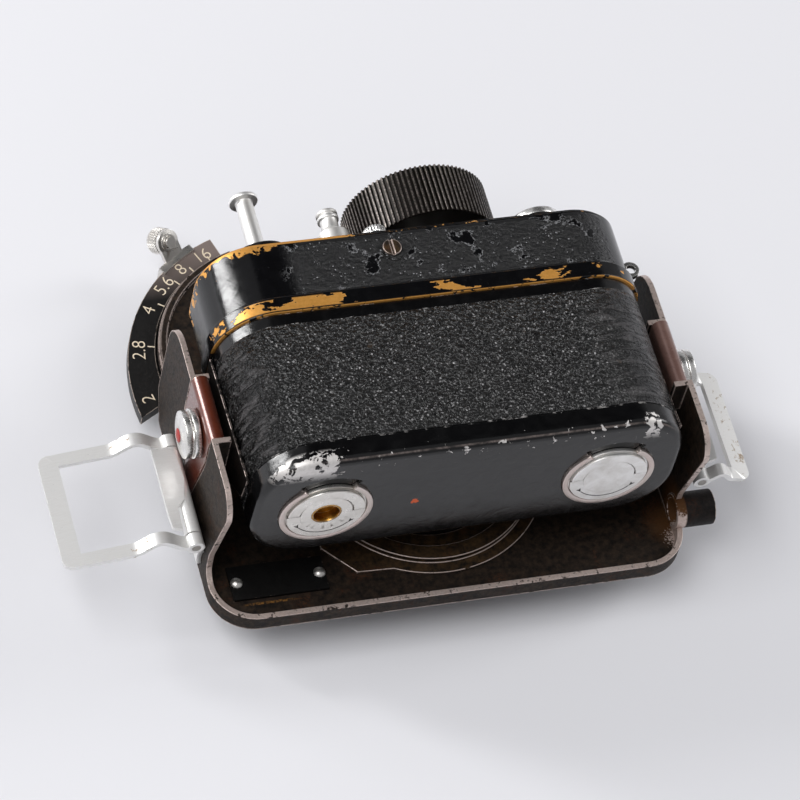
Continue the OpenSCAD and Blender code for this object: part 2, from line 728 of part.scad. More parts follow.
eyelet_y = y_top - 7.8;
module strap_eyelet() color("#c6c6c4") {
    bar(body_w / 2 - 1.2, eyelet_y, z_mid + 3, 0.9, 1.6);
    translate([body_w / 2 + 1.5, eyelet_y, z_mid + 2.5]) difference() {
        cylinder(r = 1.6, h = 1);
        translate([0.1, 0, -1]) cylinder(r = 0.9, h = 3);
    }
}

module knob_bush() color("#57534f") difference() {
    union() {
        post(knob_x, y_top, z_mid, 6, knob_gap - slip);
        post(knob_x, y_top - cover_wall, z_mid, 4 - snug, cover_wall);
    }
    post(knob_x, y_top - 3, z_mid, 2 + running, 8);
}

module release_bush() color("#2a2827") difference() {
    union() {
        post(release_x, y_top, z_fit, release_flange_r, 1.2);
        post(release_x, y_top + 1.2, z_fit, 3, 0.5);
        post(release_x, y_top - 3, z_fit, 2, 3);
    }
    post(release_x, y_top - 4, z_fit, release_r + running, 10);
}

module cable_post() color("#c4c3c0") {
    post(post_x, y_top - 2.4, z_fit, 1.2, 2.6);
    post(post_x, y_top, z_fit, 2.9, 4.4);
    along_y(post_x, y_top + 4.4, z_fit) cylinder(r1 = 2.6, r2 = 1.6, h = 1.1);
    post(post_x, y_top + 5.4, z_fit, 1.6, post_h - 5.8);
    for (k = [0:1])
        post(post_x, y_top + post_h - 2 + k * 1.05, z_fit, 1.95, 0.7);
}

// mechanism plate on the body's rim, with the holes of the shafts
module gear_plate() color("#9c9a94") difference() {
    along_y(0, plate_low, z_mid) linear_extrude(plate_high - plate_low)
        rounded_rect(body_w - 2 * cover_wall - 0.2, body_d - 2 * cover_wall - 0.2,
            corner_r - cover_wall - 0.1);
    post(knob_x, plate_low - 1, z_mid, 2 + running, 3);
    post(spool_x, plate_low - 1, z_mid, 2.6 + running, 3);
}

// the light box with its picture gate, and the rib that stands on the shutter's plate
module film_chamber() color("#2c2b2a") difference() {
    union() {
        translate([-15.5, chamber_y - film_half - 2, film_z - 14]) cube([31, film_w + 4, 14]);
        translate([-17, chamber_y - film_half - 2.4, film_z - 1]) cube([34, film_w + 4.8, 1]);
        translate([-15.5, chamber_y - film_half - 0.5, z_front + 7.4])
            cube([1, film_w + 1, film_z - 10 - z_front - 7.4]);
    }
    translate([-14.5, chamber_y - film_half - 1, film_z - 15]) cube([29, film_w + 2, 14]);
    translate([-12, chamber_y - film_half + 1.5, film_z - 2]) cube([24, film_w - 3, 4]);
}

module pressure_plate() color("#55524e") {
    translate([-15, chamber_y - film_half - 0.5, film_z + 0.5]) cube([30, film_w + 1, 0.8]);
    for (x = [-9, 9])
        translate([x, chamber_y, film_z + 1.2])
            cylinder(r = 2, h = z_back - leather_t - shell_wall - film_z - 1.3);
}

cassette_r = 9.3;
module film_cassette() color("#2a2a2c") difference() {
    union() {
        post(cassette_x, chamber_y - film_half - 1.3, z_mid, cassette_r, film_w + 2.6);
        post(cassette_x, spindle_y, z_mid, 3, chamber_y - film_half - 1.1 - spindle_y);
        post(cassette_x, chamber_y + film_half + 1.1, z_mid, 3, plate_low - chamber_y - film_half - 1.2);
    }
    post(cassette_x, chamber_y - film_half - 0.3, z_mid, cassette_r - 0.6, film_w + 0.6);
    translate([cassette_x + 2, chamber_y - film_half - 0.3, z_mid + 6]) cube([9, film_w + 0.6, 1.4]);
}

module film_strip() color("#4a2f26") translate([0, chamber_y - film_half, film_z + 0.12]) {
    translate([-19.5, 0, 0]) cube([39, film_w, 0.15]);
}

module shutter_plate() color("#3b3a38") {
    difference() {
        translate([-16, chamber_y - 12, z_front + 6.4]) cube([33, 24, 1]);
        translate([0, 0, z_front + 5]) cylinder(r = glass_r + 0.2, h = 4);
    }
    translate([shutter_x, shutter_y, z_front + 7.3]) cylinder(r = 1, h = 0.75);
}

shutter_x = 14;
shutter_y = 5.5;
module shutter_blade() color("#6b6964") translate([0, 0, z_front + 7.55]) linear_extrude(0.35) {
    difference() {
        union() {
            circle(7.3);
            polygon([[shutter_x + 0.9, shutter_y - 2], [shutter_x - 0.9, shutter_y + 2], [2, 6], [4, -5]]);
            translate([shutter_x, shutter_y]) circle(2.2);
        }
        translate([shutter_x, shutter_y]) circle(1 + running);
    }
}

tail_r = 8.2;
module lens_barrel() color("#38352f") difference() {
    union() {
        translate([0, 0, barrel_setback]) cylinder(r = barrel_r, h = z_front - barrel_setback);
        translate([0, 0, z_front]) cylinder(r = tail_r, h = 6.4);
    }
    translate([0, 0, barrel_setback - 1]) cylinder(r = glass_r + 1.2, h = 2.2);
    translate([0, 0, barrel_setback]) cylinder(r = glass_r, h = 40);
}

// a lens whose faces bulge by the given height
module element(r, edge, bulge) {
    sag = (r * r + bulge * bulge) / (2 * bulge);
    cylinder(r = r, h = edge);
    translate([0, 0, edge]) intersection() {
        translate([0, 0, bulge - sag]) sphere(r = sag);
        cylinder(r = r, h = bulge + 1);
    }
}
module front_lens() color([0.5, 0.6, 0.75, 0.5])
    translate([0, 0, barrel_setback + 4.2]) mirror([0, 0, 1]) element(glass_r - snug, 1.6, 1.2);
module rear_lens() color([0.5, 0.6, 0.75, 0.5])
    translate([0, 0, z_front - 3]) element(glass_r - snug, 1.6, 1.2);

module diaphragm_ring() color("#8e8c88") difference() {
    translate([0, 0, shoulder_z - 0.4]) cylinder(r = collar_bore - 0.2, h = 5);
    translate([0, 0, shoulder_z - 1]) cylinder(r = barrel_r + running, h = 7);
    rotate(dog_angle) translate([collar_bore - 0.9, -1.2, shoulder_z - 1]) cube([3, 2.4, 4.2]);
}

// Winding and film drive

module winding_knob() color("#3a332b") {
    along_y(knob_x, knob_y, z_mid) linear_extrude(knob_h)
        polygon([for (i = [0:knob_ridges - 1]) for (p = [[-0.28, 0.4], [-0.2, 0], [0.2, 0], [0.28, 0.4]])
            let (a = (i + p[0]) * 360 / knob_ridges) [(knob_r - p[1]) * cos(a), (knob_r - p[1]) * sin(a)]]);
    post(knob_x, plate_low, z_mid, 2, knob_y - plate_low + 0.5);
}

barrel_y = y_cover + 3.6;
module spring_barrel() color("#b08d4a") difference() {
    union() {
        post(knob_x, barrel_y, z_mid, 10, 9);
        along_y(knob_x, barrel_y, z_mid) gear(train_module, barrel_teeth, 1.5);
    }
    post(knob_x, barrel_y - 1, z_mid, 2 + running, 12);
    post(knob_x, barrel_y + 1.4, z_mid, 9.2, 6.6);
}

spring_turns = 5;
module mainspring() color("#5b6068") along_y(knob_x, barrel_y + 1.7, z_mid) linear_extrude(6)
    polygon(concat(
        [for (i = [0:spring_turns * 24]) let (a = i * 15, r = 2.02 + 6.4 * i / (spring_turns * 24))
            [r * cos(a), r * sin(a)]],
        [for (i = [spring_turns * 24:-1:0]) let (a = i * 15, r = 2.42 + 6.4 * i / (spring_turns * 24))
            [r * cos(a), r * sin(a)]]));

module takeup_spool() color("#7a7772") {
    post(spool_x, spindle_y, z_mid, 2.6, counter_gear_y + 1 - spindle_y);
    for (y = [chamber_y - film_half - 1.3, chamber_y + film_half + 0.4])
        post(spool_x, y, z_mid, 9, 0.9);
    along_y(spool_x, barrel_y, z_mid) rotate(180 + 180 / spool_teeth) gear(train_module, spool_teeth, 1.5);
    along_y(spool_x, counter_gear_y, z_mid) rotate(counter_direction)
        gear(counter_module, pinion_teeth, 1.2);
}

// direction from the spool to the counter, in the gears' own plane
counter_direction = atan2(z_mid - z_counter, counter_x - spool_x);

module counter_disc() color("#cfcfcd") {
    post(counter_x, y_top + 0.3, z_counter, counter_r, 1.2);
    post(counter_x, counter_gear_y - 0.3, z_counter, 1, y_top - counter_gear_y + 1);
    along_y(counter_x, counter_gear_y, z_counter) rotate(counter_direction + 180 + 180 / counter_teeth)
        gear(counter_module, counter_teeth, 1.2);
}

module speed_dial() color("#d8d4c8") {
    along_y(speed_x, y_top + 0.3, z_speed) linear_extrude(1.4)
        polygon([for (i = [0:47]) let (r = i % 2 == 0 ? speed_r : speed_r - 0.25)
            [r * cos(i * 7.5), r * sin(i * 7.5)]]);
    post(speed_x, y_top - 2.4, z_speed, 0.8, 2.8);
}

// the rod's foot stops just above the mechanism plate when it is pressed
rod_foot = plate_high + release_travel + 0.2;
module release_rod() color("#d2d2d0") {
    post(release_x, rod_foot, z_fit, release_r, y_top + release_h - 0.8 - rod_foot);
    post(release_x, y_top - 4.3, z_fit, 2, 1.2);
    post(release_x, y_top + release_h - 1.1, z_fit, 2.6, 0.7);
    along_y(release_x, y_top + release_h - 0.4, z_fit) cylinder(r1 = 2.6, r2 = 1.9, h = 0.4);
}

// Bottom lid and its locks

hub_r = 3.7;

module bottom_lid() color("#1d1c1b") difference() {
    body_prism(y_bottom, lid_h);
    body_prism(y_bottom + lid_floor, lid_h, -cover_wall);
    for (s = [-1, 1]) {
        post(s * lock_x, y_bottom - 1, z_lock, lock_ring_r + snug, 1.6);
        post(s * lock_x, y_bottom - 1, z_lock, hub_r + running, 4);
        along_y(s * lock_x, y_bottom - 1, z_lock) linear_extrude(1.6)
            ring_sector(lock_ring_r - 1, lock_ring_r + 1.2, 235, 305);
    }
}

// the fixed rings are open towards the camera's back, where a nail lifts the key
module lock_rings() color("#b8b7b3") for (s = [-1, 1])
    along_y(s * lock_x, y_bottom - 0.5, z_lock) linear_extrude(1.1)
        ring_sector(lock_disc_r + running, lock_ring_r, -57, 237);

// turning disc with its hub and the cam inside the lid
module lock_disc(x, hole) {
    difference() {
        union() {
            post(x, y_bottom - 0.1, z_lock, lock_disc_r, 0.65);
            post(x, y_bottom - 0.7, z_lock, 4.6, 0.8);
            along_y(x, y_bottom - 0.6, z_lock) linear_extrude(0.7) intersection() {
                circle(lock_disc_r - 0.2);
                translate([-9, 0.15]) square([18, 9]);
            }
            post(x, y_bottom + 0.5, z_lock, hub_r, lid_floor - 0.3);
            intersection() {
                post(x, y_bottom + lid_floor + 0.2, z_lock, 6, 1);
                translate([x - 7, y_bottom, z_lock - 3]) cube([14, 9, 6]);
            }
        }
        if (hole)
            post(x, y_bottom - 1, z_lock, 2.7, 2.4);
    }
}
module left_lock_disc() color("#c3c2be") lock_disc(-lock_x, true);
module right_lock_disc() color("#c3c2be") lock_disc(lock_x, false);

// folding half-round key that lies on the disc
module lock_key(x) {
    along_y(x, y_bottom - 0.9, z_lock) linear_extrude(0.8) difference() {
        intersection() {
            circle(lock_disc_r - 0.3);
            translate([-9, -9.2]) square([18, 9]);
        }
        circle(4.8);
    }
}
module left_lock_key() color("#cfcecb") lock_key(-lock_x);
module right_lock_key() color("#cfcecb") lock_key(lock_x);

mount_bracket();
lens_board();
number_plate();
plate_rivets();
cable_tube();
front_collar();
left_guide();
right_guide();
rest_posts();
left_loop_hinge();
right_loop_hinge();
loop_pins();
latch_rivets();
sector_stud();
aperture_sector();
sector_gear();
cable_lug();
clamp_wheel();
coupling_ring();
left_strap_loop();
right_strap_loop();
left_latch_leaf();
left_latch_button();
right_latch_leaf();
right_latch_button();
body_shell();
leather_wrap();
top_cover();
cover_screws();
strap_eyelet();
knob_bush();
release_bush();
cable_post();
film_chamber();
gear_plate();
pressure_plate();
film_cassette();
film_strip();
shutter_plate();
shutter_blade();
lens_barrel();
front_lens();
rear_lens();
diaphragm_ring();
winding_knob();
spring_barrel();
mainspring();
takeup_spool();
counter_disc();
speed_dial();
release_rod();
bottom_lid();
lock_rings();
left_lock_disc();
right_lock_disc();
left_lock_key();
right_lock_key();
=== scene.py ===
import json
import math

import bmesh
import bpy
from mathutils import Euler, Matrix, Vector


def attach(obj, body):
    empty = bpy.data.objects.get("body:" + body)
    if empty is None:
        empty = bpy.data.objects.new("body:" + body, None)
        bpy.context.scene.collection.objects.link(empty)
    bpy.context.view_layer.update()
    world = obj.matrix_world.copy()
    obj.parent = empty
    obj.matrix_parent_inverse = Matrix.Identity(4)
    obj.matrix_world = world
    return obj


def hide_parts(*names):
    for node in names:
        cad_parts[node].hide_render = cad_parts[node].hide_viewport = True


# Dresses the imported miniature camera: worn enamel, pebbled covering, blackened bracket, bright fittings
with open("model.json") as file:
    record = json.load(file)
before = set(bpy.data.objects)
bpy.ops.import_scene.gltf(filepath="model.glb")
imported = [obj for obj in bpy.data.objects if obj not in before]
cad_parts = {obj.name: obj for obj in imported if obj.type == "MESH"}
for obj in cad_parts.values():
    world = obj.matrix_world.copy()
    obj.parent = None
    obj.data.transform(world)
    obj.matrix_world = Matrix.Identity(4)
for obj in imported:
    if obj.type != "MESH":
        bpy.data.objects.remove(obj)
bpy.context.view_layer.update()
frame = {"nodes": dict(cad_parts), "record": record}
MM = 0.001

# Sizes repeated from the part's source, in millimetres
BODY_W = 77.0
BODY_D = 27.0
CORNER_R = 10.3
Z_MID = 33.5
Y_BOTTOM = -20.4
Y_COVER = 10.9
Y_TOP = 26.3
PAN_TOP = 10.0
WALL_X = 43.5
KNOB_X = 5.4
KNOB_R = 13.3
KNOB_TOP = 39.1
LOCK_X = 25.5
LOCK_Z = 32.4
PIVOT_REACH = 32
PIVOT_WAY = math.radians(121)
PIVOT = (PIVOT_REACH * math.cos(PIVOT_WAY), PIVOT_REACH * math.sin(PIVOT_WAY))
BAND_IN = 24.5
BAND_TOP = 8.6
BUTTON_Y = -1.2
BUTTON_Z = 31.7
BUTTON_FACE = 46.4
COUNTER = (23.489, 27.8, 41.658)


# Camera, from the view solved on the photograph
LENS = 217.94
PLACE = (-0.235364, -0.439091, 0.713176)
TURN = (34.97301, -9.22569, -14.58040)


def place_camera():
    camera = bpy.data.cameras.new("studio_camera")
    camera.lens = LENS
    camera.sensor_width = 36.0
    camera.clip_start = 0.05
    rig = bpy.data.objects.new("studio_camera", camera)
    rig.location = PLACE
    rig.rotation_euler = Euler([math.radians(a) for a in TURN], "XYZ")
    bpy.context.collection.objects.link(rig)
    bpy.context.scene.camera = rig


place_camera()
bpy.context.scene.view_settings.view_transform = "Standard"

NOISE, CELLS, RANGE = "ShaderNodeTexNoise", "ShaderNodeTexVoronoi", "ShaderNodeMapRange"
MATH, MIX, BUMP = "ShaderNodeMath", "ShaderNodeMix", "ShaderNodeBump"
VECTOR, MAPPING, SPLIT = "ShaderNodeVectorMath", "ShaderNodeMapping", "ShaderNodeSeparateXYZ"


def linear(code):
    """An sRGB hex colour as the linear colour that Blender's nodes take."""
    parts = [int(code[i:i + 2], 16) / 255 for i in (1, 3, 5)]
    return [p / 12.92 if p <= 0.04045 else ((p + 0.055) / 1.055) ** 2.4 for p in parts] + [1.0]


def node(tree, kind, links=None, out=0, **settings):
    """Adds one node with its settings, feeds its inputs and gives back one of its outputs."""
    made = tree.nodes.new(kind)
    for key, value in settings.items():
        setattr(made, key, value)
    for key, value in (links or {}).items():
        if isinstance(value, bpy.types.NodeSocket):
            tree.links.new(value, made.inputs[key])
        else:
            made.inputs[key].default_value = value
    return made.outputs[out] if made.outputs else made


def start(name):
    """A new material's tree, and the place on the object that its patterns read."""
    material = bpy.data.materials.new(name)
    material.use_nodes = True
    return material.node_tree, node(material.node_tree, "ShaderNodeTexCoord", out="Object")


def strip(tree, value, low, high, soft):
    """A mask that is 1 where a coordinate lies between two places, given in millimetres."""
    up = node(tree, RANGE, {"Value": value, 1: (low - soft) * MM, 2: (low + soft) * MM},
              interpolation_type="SMOOTHSTEP")
    down = node(tree, RANGE, {"Value": value, 1: (high + soft) * MM, 2: (high - soft) * MM},
                interpolation_type="SMOOTHSTEP")
    return node(tree, MATH, {0: up, 1: down}, operation="MULTIPLY")


def rubbed_edges(tree, p, width, size, amount):
    """A mask for bare metal along sharp edges, broken up by grain of the given size."""
    eased_normal = node(tree, "ShaderNodeBevel", {"Radius": width * MM}, samples=6)
    true_normal = node(tree, "ShaderNodeNewGeometry", out="Normal")
    same = node(tree, VECTOR, {0: eased_normal, 1: true_normal}, "Value", operation="DOT_PRODUCT")
    edge = node(tree, RANGE, {"Value": same, 1: 0.995, 2: 0.88}, interpolation_type="SMOOTHSTEP")
    round_faces = node(tree, "ShaderNodeAttribute", out="Fac", attribute_name="rubbed")
    edge = node(tree, MATH, {0: edge, 1: round_faces}, operation="MAXIMUM")
    grain = node(tree, NOISE, {"Vector": p, "Scale": 1 / (size * MM), "Detail": 5.0, "Roughness": 0.65})
    kept = node(tree, RANGE, {"Value": grain, 1: 0.62 - 0.3 * amount, 2: 0.70 - 0.3 * amount})
    return node(tree, MATH, {0: edge, 1: kept}, operation="MULTIPLY")


def surface(tree, base, rough, metal, coats=(), reliefs=(), **fixed):
    """Lays coats over a base, each as mask, colour, roughness and metal, and raises reliefs in mm."""
    shader = tree.nodes["Principled BSDF"]
    for mask, colour, coat_rough, coat_metal in coats:
        base = node(tree, MIX, {0: mask, 6: base, 7: colour}, 2, data_type="RGBA")
        if coat_rough is not None:
            rough = node(tree, MIX, {0: mask, 2: rough, 3: coat_rough}, data_type="FLOAT")
        if coat_metal is not None:
            metal = node(tree, MIX, {0: mask, 2: metal, 3: coat_metal}, data_type="FLOAT")
    normal = None
    for height, depth in reliefs:
        under = {"Normal": normal} if normal else {}
        normal = node(tree, BUMP, {"Height": height, "Distance": depth * MM, **under})
    for key, value in (("Base Color", base), ("Roughness", rough), ("Metallic", metal), ("Normal", normal)):
        if isinstance(value, bpy.types.NodeSocket):
            tree.links.new(value, shader.inputs[key])
        elif value is not None:
            shader.inputs[key].default_value = value
    for key, value in fixed.items():
        shader.inputs[key.replace("_", " ")].default_value = value
    return next(m for m in bpy.data.materials if m.node_tree == tree)


# Baking enamel sprayed on a drawn brass cover. It is deep black and glossy, has crumpled on the
# back, and shows orange brass along the top edge, in drips at the left and in islands on the bead.
def enamelled_brass():
    tree, p = start("baking_enamel_on_brass")
    x, y, z = node(tree, SPLIT, {0: p}).node.outputs
    speck = node(tree, NOISE, {"Vector": p, "Scale": 1900.0, "Detail": 6.0, "Roughness": 0.7})
    flow = node(tree, NOISE, {"Vector": p, "Scale": 420.0, "Detail": 5.0, "Roughness": 0.6,
                              "Distortion": 0.8})
    long_way = node(tree, MAPPING, {"Vector": p, "Scale": (0.45, 1.0, 1.0)})
    patches = node(tree, NOISE, {"Vector": long_way, "Scale": 330.0, "Detail": 4.0, "Roughness": 0.6})
    # brass on the bead: one long patch at the left, islands further on
    left_patch = strip(tree, x, -36.0, -17.0, 3.0)
    patch_level = node(tree, MATH, {0: left_patch, 1: 0.16, 2: patches}, operation="MULTIPLY_ADD")
    islands = node(tree, RANGE, {"Value": patch_level, 1: 0.575, 2: 0.585})
    on_bead = strip(tree, y, Y_COVER + 0.4, Y_COVER + 2.7, 0.15)
    on_back = node(tree, RANGE, {"Value": z, 1: 0.037, 2: 0.040})
    bead = node(tree, MATH, {0: islands, 1: on_bead}, operation="MULTIPLY")
    thin_line = strip(tree, y, Y_COVER - 0.3, Y_COVER + 0.14, 0.05)
    unbroken = node(tree, RANGE, {"Value": flow, 1: 0.40, 2: 0.44})
    thin_line = node(tree, MATH, {0: thin_line, 1: unbroken}, operation="MULTIPLY")
    bead = node(tree, MATH, {0: bead, 1: thin_line}, operation="MAXIMUM")
    bead = node(tree, MATH, {0: bead, 1: on_back}, operation="MULTIPLY")
    # brass along the rounded top edge, running down in drips round the left corner
    left = node(tree, RANGE, {"Value": x, 1: -0.024, 2: -0.032})
    drip = node(tree, RANGE, {"Value": flow, 1: 0.50, 2: 0.66, 3: 0.0, 4: 0.0035})
    drip = node(tree, MATH, {0: drip, 1: left}, operation="MULTIPLY")
    lowered = node(tree, MATH, {0: y, 1: drip}, operation="ADD")
    rim = node(tree, RANGE, {"Value": lowered, 1: (Y_TOP - 0.95) * MM, 2: (Y_TOP - 0.85) * MM})
    below_top = node(tree, RANGE, {"Value": y, 1: (Y_TOP - 0.06) * MM, 2: (Y_TOP - 0.16) * MM})
    # the rim is bare as far as the release post and only in spots beyond it
    first_part = node(tree, RANGE, {"Value": x, 1: -0.008, 2: -0.013})
    worn = node(tree, MATH, {0: first_part, 1: 0.24, 2: flow}, operation="MULTIPLY_ADD")
    worn = node(tree, RANGE, {"Value": worn, 1: 0.60, 2: 0.62})
    rim = node(tree, MATH, {0: rim, 1: below_top}, operation="MULTIPLY")
    rim = node(tree, MATH, {0: rim, 1: worn}, operation="MULTIPLY")
    rub = rubbed_edges(tree, p, 0.3, 1.6, 0.35)
    bare = node(tree, MATH, {0: bead, 1: rim}, operation="MAXIMUM")
    bare = node(tree, MATH, {0: bare, 1: rub}, operation="MAXIMUM")
    # crumpled field on the back with ragged borders
    ragged = node(tree, NOISE, {"Vector": p, "Scale": 150.0, "Detail": 5.0, "Roughness": 0.65})
    field = node(tree, RANGE, {"Value": ragged, 1: 0.40, 2: 0.43})
    for limit in (strip(tree, x, -24.0, 33.0, 2.5), strip(tree, y, Y_COVER + 3.8, Y_TOP - 1.3, 0.4),
                  strip(tree, z, 44.5, 49.0, 0.8)):
        field = node(tree, MATH, {0: field, 1: limit}, operation="MULTIPLY")
    wander = node(tree, NOISE, {"Vector": p, "Scale": 700.0, "Detail": 3.0}, "Color")
    shifted = node(tree, VECTOR, {0: wander, 1: (0.0012, 0.0012, 0.0012), 2: p}, operation="MULTIPLY_ADD")
    creases = node(tree, CELLS, {"Vector": shifted, "Scale": 1250.0}, feature="F1")
    crumple = node(tree, MATH, {0: creases, 1: speck}, operation="ADD")
    crumple = node(tree, MATH, {0: crumple, 1: field}, operation="MULTIPLY")
    # painted glints: pale specks in the crumpled field stand in for its sparkle
    glint = node(tree, RANGE, {"Value": creases, 1: 0.20, 2: 0.12})
    some = node(tree, RANGE, {"Value": flow, 1: 0.46, 2: 0.6})
    glint = node(tree, MATH, {0: glint, 1: some}, operation="MULTIPLY")
    glint = node(tree, MATH, {0: glint, 1: field}, operation="MULTIPLY")
    # painted highlight along the torn border of the field, where it would catch the light
    border = node(tree, RANGE, {"Value": ragged, 1: 0.405, 2: 0.415})
    inside = node(tree, RANGE, {"Value": ragged, 1: 0.43, 2: 0.42})
    border = node(tree, MATH, {0: border, 1: inside}, operation="MULTIPLY")
    border = node(tree, MATH, {0: border, 1: field}, operation="MULTIPLY")
    glint = node(tree, MATH, {0: glint, 1: border}, operation="MAXIMUM")
    glint = node(tree, MATH, {0: glint, 1: 0.7}, operation="MULTIPLY")
    gold = node(tree, MIX, {0: speck, 6: linear("#c9862f"), 7: linear("#ffc069")}, 2, data_type="RGBA")
    black = node(tree, MIX, {0: flow, 6: linear("#060607"), 7: linear("#101012")}, 2, data_type="RGBA")
    gloss = node(tree, RANGE, {"Value": flow, 1: 0.3, 2: 0.7, 3: 0.12, 4: 0.22})
    scuff = node(tree, RANGE, {"Value": speck, 1: 0.64, 2: 0.74, 3: 0.0, 4: 0.3})
    film = node(tree, MATH, {0: 1.0, 1: bare}, operation="SUBTRACT")
    return surface(tree, black, gloss, 0.0,
                   [(scuff, linear("#4a4a4d"), 0.4, None), (field, linear("#070708"), 0.24, None),
                    (glint, linear("#b9babd"), 0.3, None), (bare, gold, 0.36, 0.55)],
                   [(crumple, 0.26), (film, 0.06), (flow, 0.03)], Specular_IOR_Level=0.38)


# Baking enamel on a light alloy casting: the same black, but its chips are silver-white and
# thick-edged, and the flat bottom is orange-peeled and scratched.
def enamelled_alloy():
    tree, p = start("baking_enamel_on_alloy")
    x, y, z = node(tree, SPLIT, {0: p}).node.outputs
    speck = node(tree, NOISE, {"Vector": p, "Scale": 1900.0, "Detail": 6.0, "Roughness": 0.7})
    peel = node(tree, NOISE, {"Vector": p, "Scale": 380.0, "Detail": 4.0, "Roughness": 0.55,
                              "Distortion": 0.8})
    ragged = node(tree, NOISE, {"Vector": p, "Scale": 620.0, "Detail": 6.0, "Roughness": 0.62,
                                "Distortion": 0.5})
    # chips along the rounded edge under the covering: a long one over the left lock, one at the right
    on_edge = strip(tree, y, Y_BOTTOM - 1.0, Y_BOTTOM + 2.6, 0.5)
    at_back = node(tree, RANGE, {"Value": z, 1: 0.0420, 2: 0.0445})
    left_chip = strip(tree, x, -36.5, -24.5, 1.5)
    right_chip = strip(tree, x, 30.0, 33.0, 0.7)
    # the chips keep to the rounded edge itself, with small nicks between them and a thin pale line that is
    # partly wear and partly a painted highlight on the round
    low = strip(tree, y, Y_BOTTOM - 1.0, Y_BOTTOM + 1.5, 0.4)
    nicks = node(tree, RANGE, {"Value": speck, 1: 0.60, 2: 0.68, 3: 0.0, 4: 0.05})
    level = node(tree, MATH, {0: left_chip, 1: right_chip}, operation="MAXIMUM")
    level = node(tree, MATH, {0: level, 1: 0.20, 2: ragged}, operation="MULTIPLY_ADD")
    level = node(tree, MATH, {0: level, 1: nicks}, operation="ADD")
    level = node(tree, MATH, {0: low, 1: 0.05, 2: level}, operation="MULTIPLY_ADD")
    chips = node(tree, RANGE, {"Value": level, 1: 0.695, 2: 0.705})
    chips = node(tree, MATH, {0: chips, 1: on_edge}, operation="MULTIPLY")
    # thin pale line part way round the rounded edge: painted highlight, broken up like wear
    highlight_and_wear_line = strip(tree, y, Y_BOTTOM + 0.45, Y_BOTTOM + 0.7, 0.1)
    broken = node(tree, RANGE, {"Value": ragged, 1: 0.38, 2: 0.62, 3: 0.1, 4: 0.7})
    highlight_and_wear_line = node(tree, MATH, {0: highlight_and_wear_line, 1: broken}, operation="MULTIPLY")
    highlight_and_wear_line = node(tree, MATH, {0: highlight_and_wear_line, 1: at_back}, operation="MULTIPLY")
    chips = node(tree, MATH, {0: chips, 1: at_back}, operation="MULTIPLY")
    rub = rubbed_edges(tree, p, 0.25, 2.0, 0.25)
    bare = node(tree, MATH, {0: chips, 1: rub}, operation="MAXIMUM")
    # one orange dab of old paint near the middle of the bottom
    gap = node(tree, VECTOR, {0: p, 1: (-0.0095, Y_BOTTOM * MM, 0.0317)}, "Value", operation="DISTANCE")
    wobble = node(tree, MATH, {0: speck, 1: 0.0014, 2: gap}, operation="MULTIPLY_ADD")
    dab = node(tree, RANGE, {"Value": wobble, 1: 0.0014, 2: 0.0013})
    slant = node(tree, MAPPING, {"Vector": p, "Scale": (1.0, 5.0, 1.0), "Rotation": (0.2, 0.4, 0.1)})
    hairs = node(tree, NOISE, {"Vector": slant, "Scale": 420.0, "Detail": 8.0, "Roughness": 0.8})
    scuff = node(tree, RANGE, {"Value": hairs, 1: 0.62, 2: 0.72, 3: 0.0, 4: 0.3})
    black = node(tree, MIX, {0: peel, 6: linear("#050506"), 7: linear("#0f0f10")}, 2, data_type="RGBA")
    silver = node(tree, MIX, {0: speck, 6: linear("#bdb8b4"), 7: linear("#f4f1ef")}, 2, data_type="RGBA")
    gloss = node(tree, RANGE, {"Value": peel, 1: 0.3, 2: 0.7, 3: 0.14, 4: 0.26})
    film = node(tree, MATH, {0: 1.0, 1: bare}, operation="SUBTRACT")
    return surface(tree, black, gloss, 0.0,
                   [(scuff, linear("#4b4846"), 0.42, None), (highlight_and_wear_line, linear("#857974"), 0.35, None),
                    (bare, silver, 0.45, 0.4), (dab, linear("#d5561c"), 0.5, 0.0)],
                   [(film, 0.09), (peel, 0.05), (speck, 0.012)], Specular_IOR_Level=0.5)


# The release rod's seat: a black enamelled flange under a chromed washer.
def flange_and_washer():
    tree, p = start("enamelled_flange_with_chromed_washer")
    y = node(tree, SPLIT, {0: p}, "Y")
    speck = node(tree, NOISE, {"Vector": p, "Scale": 2200.0, "Detail": 5.0, "Roughness": 0.7})
    washer = node(tree, RANGE, {"Value": y, 1: (Y_TOP + 1.2) * MM, 2: (Y_TOP + 1.26) * MM})
    rub = rubbed_edges(tree, p, 0.2, 1.2, 0.5)
    black = node(tree, MIX, {0: speck, 6: linear("#070708"), 7: linear("#141416")}, 2, data_type="RGBA")
    gloss = node(tree, RANGE, {"Value": speck, 1: 0.3, 2: 0.7, 3: 0.16, 4: 0.34})
    return surface(tree, black, gloss, 0.0,
                   [(rub, linear("#9c9893"), 0.35, 0.7), (washer, linear("#dedbd6"), 0.2, 1.0)],
                   [(speck, 0.012)])
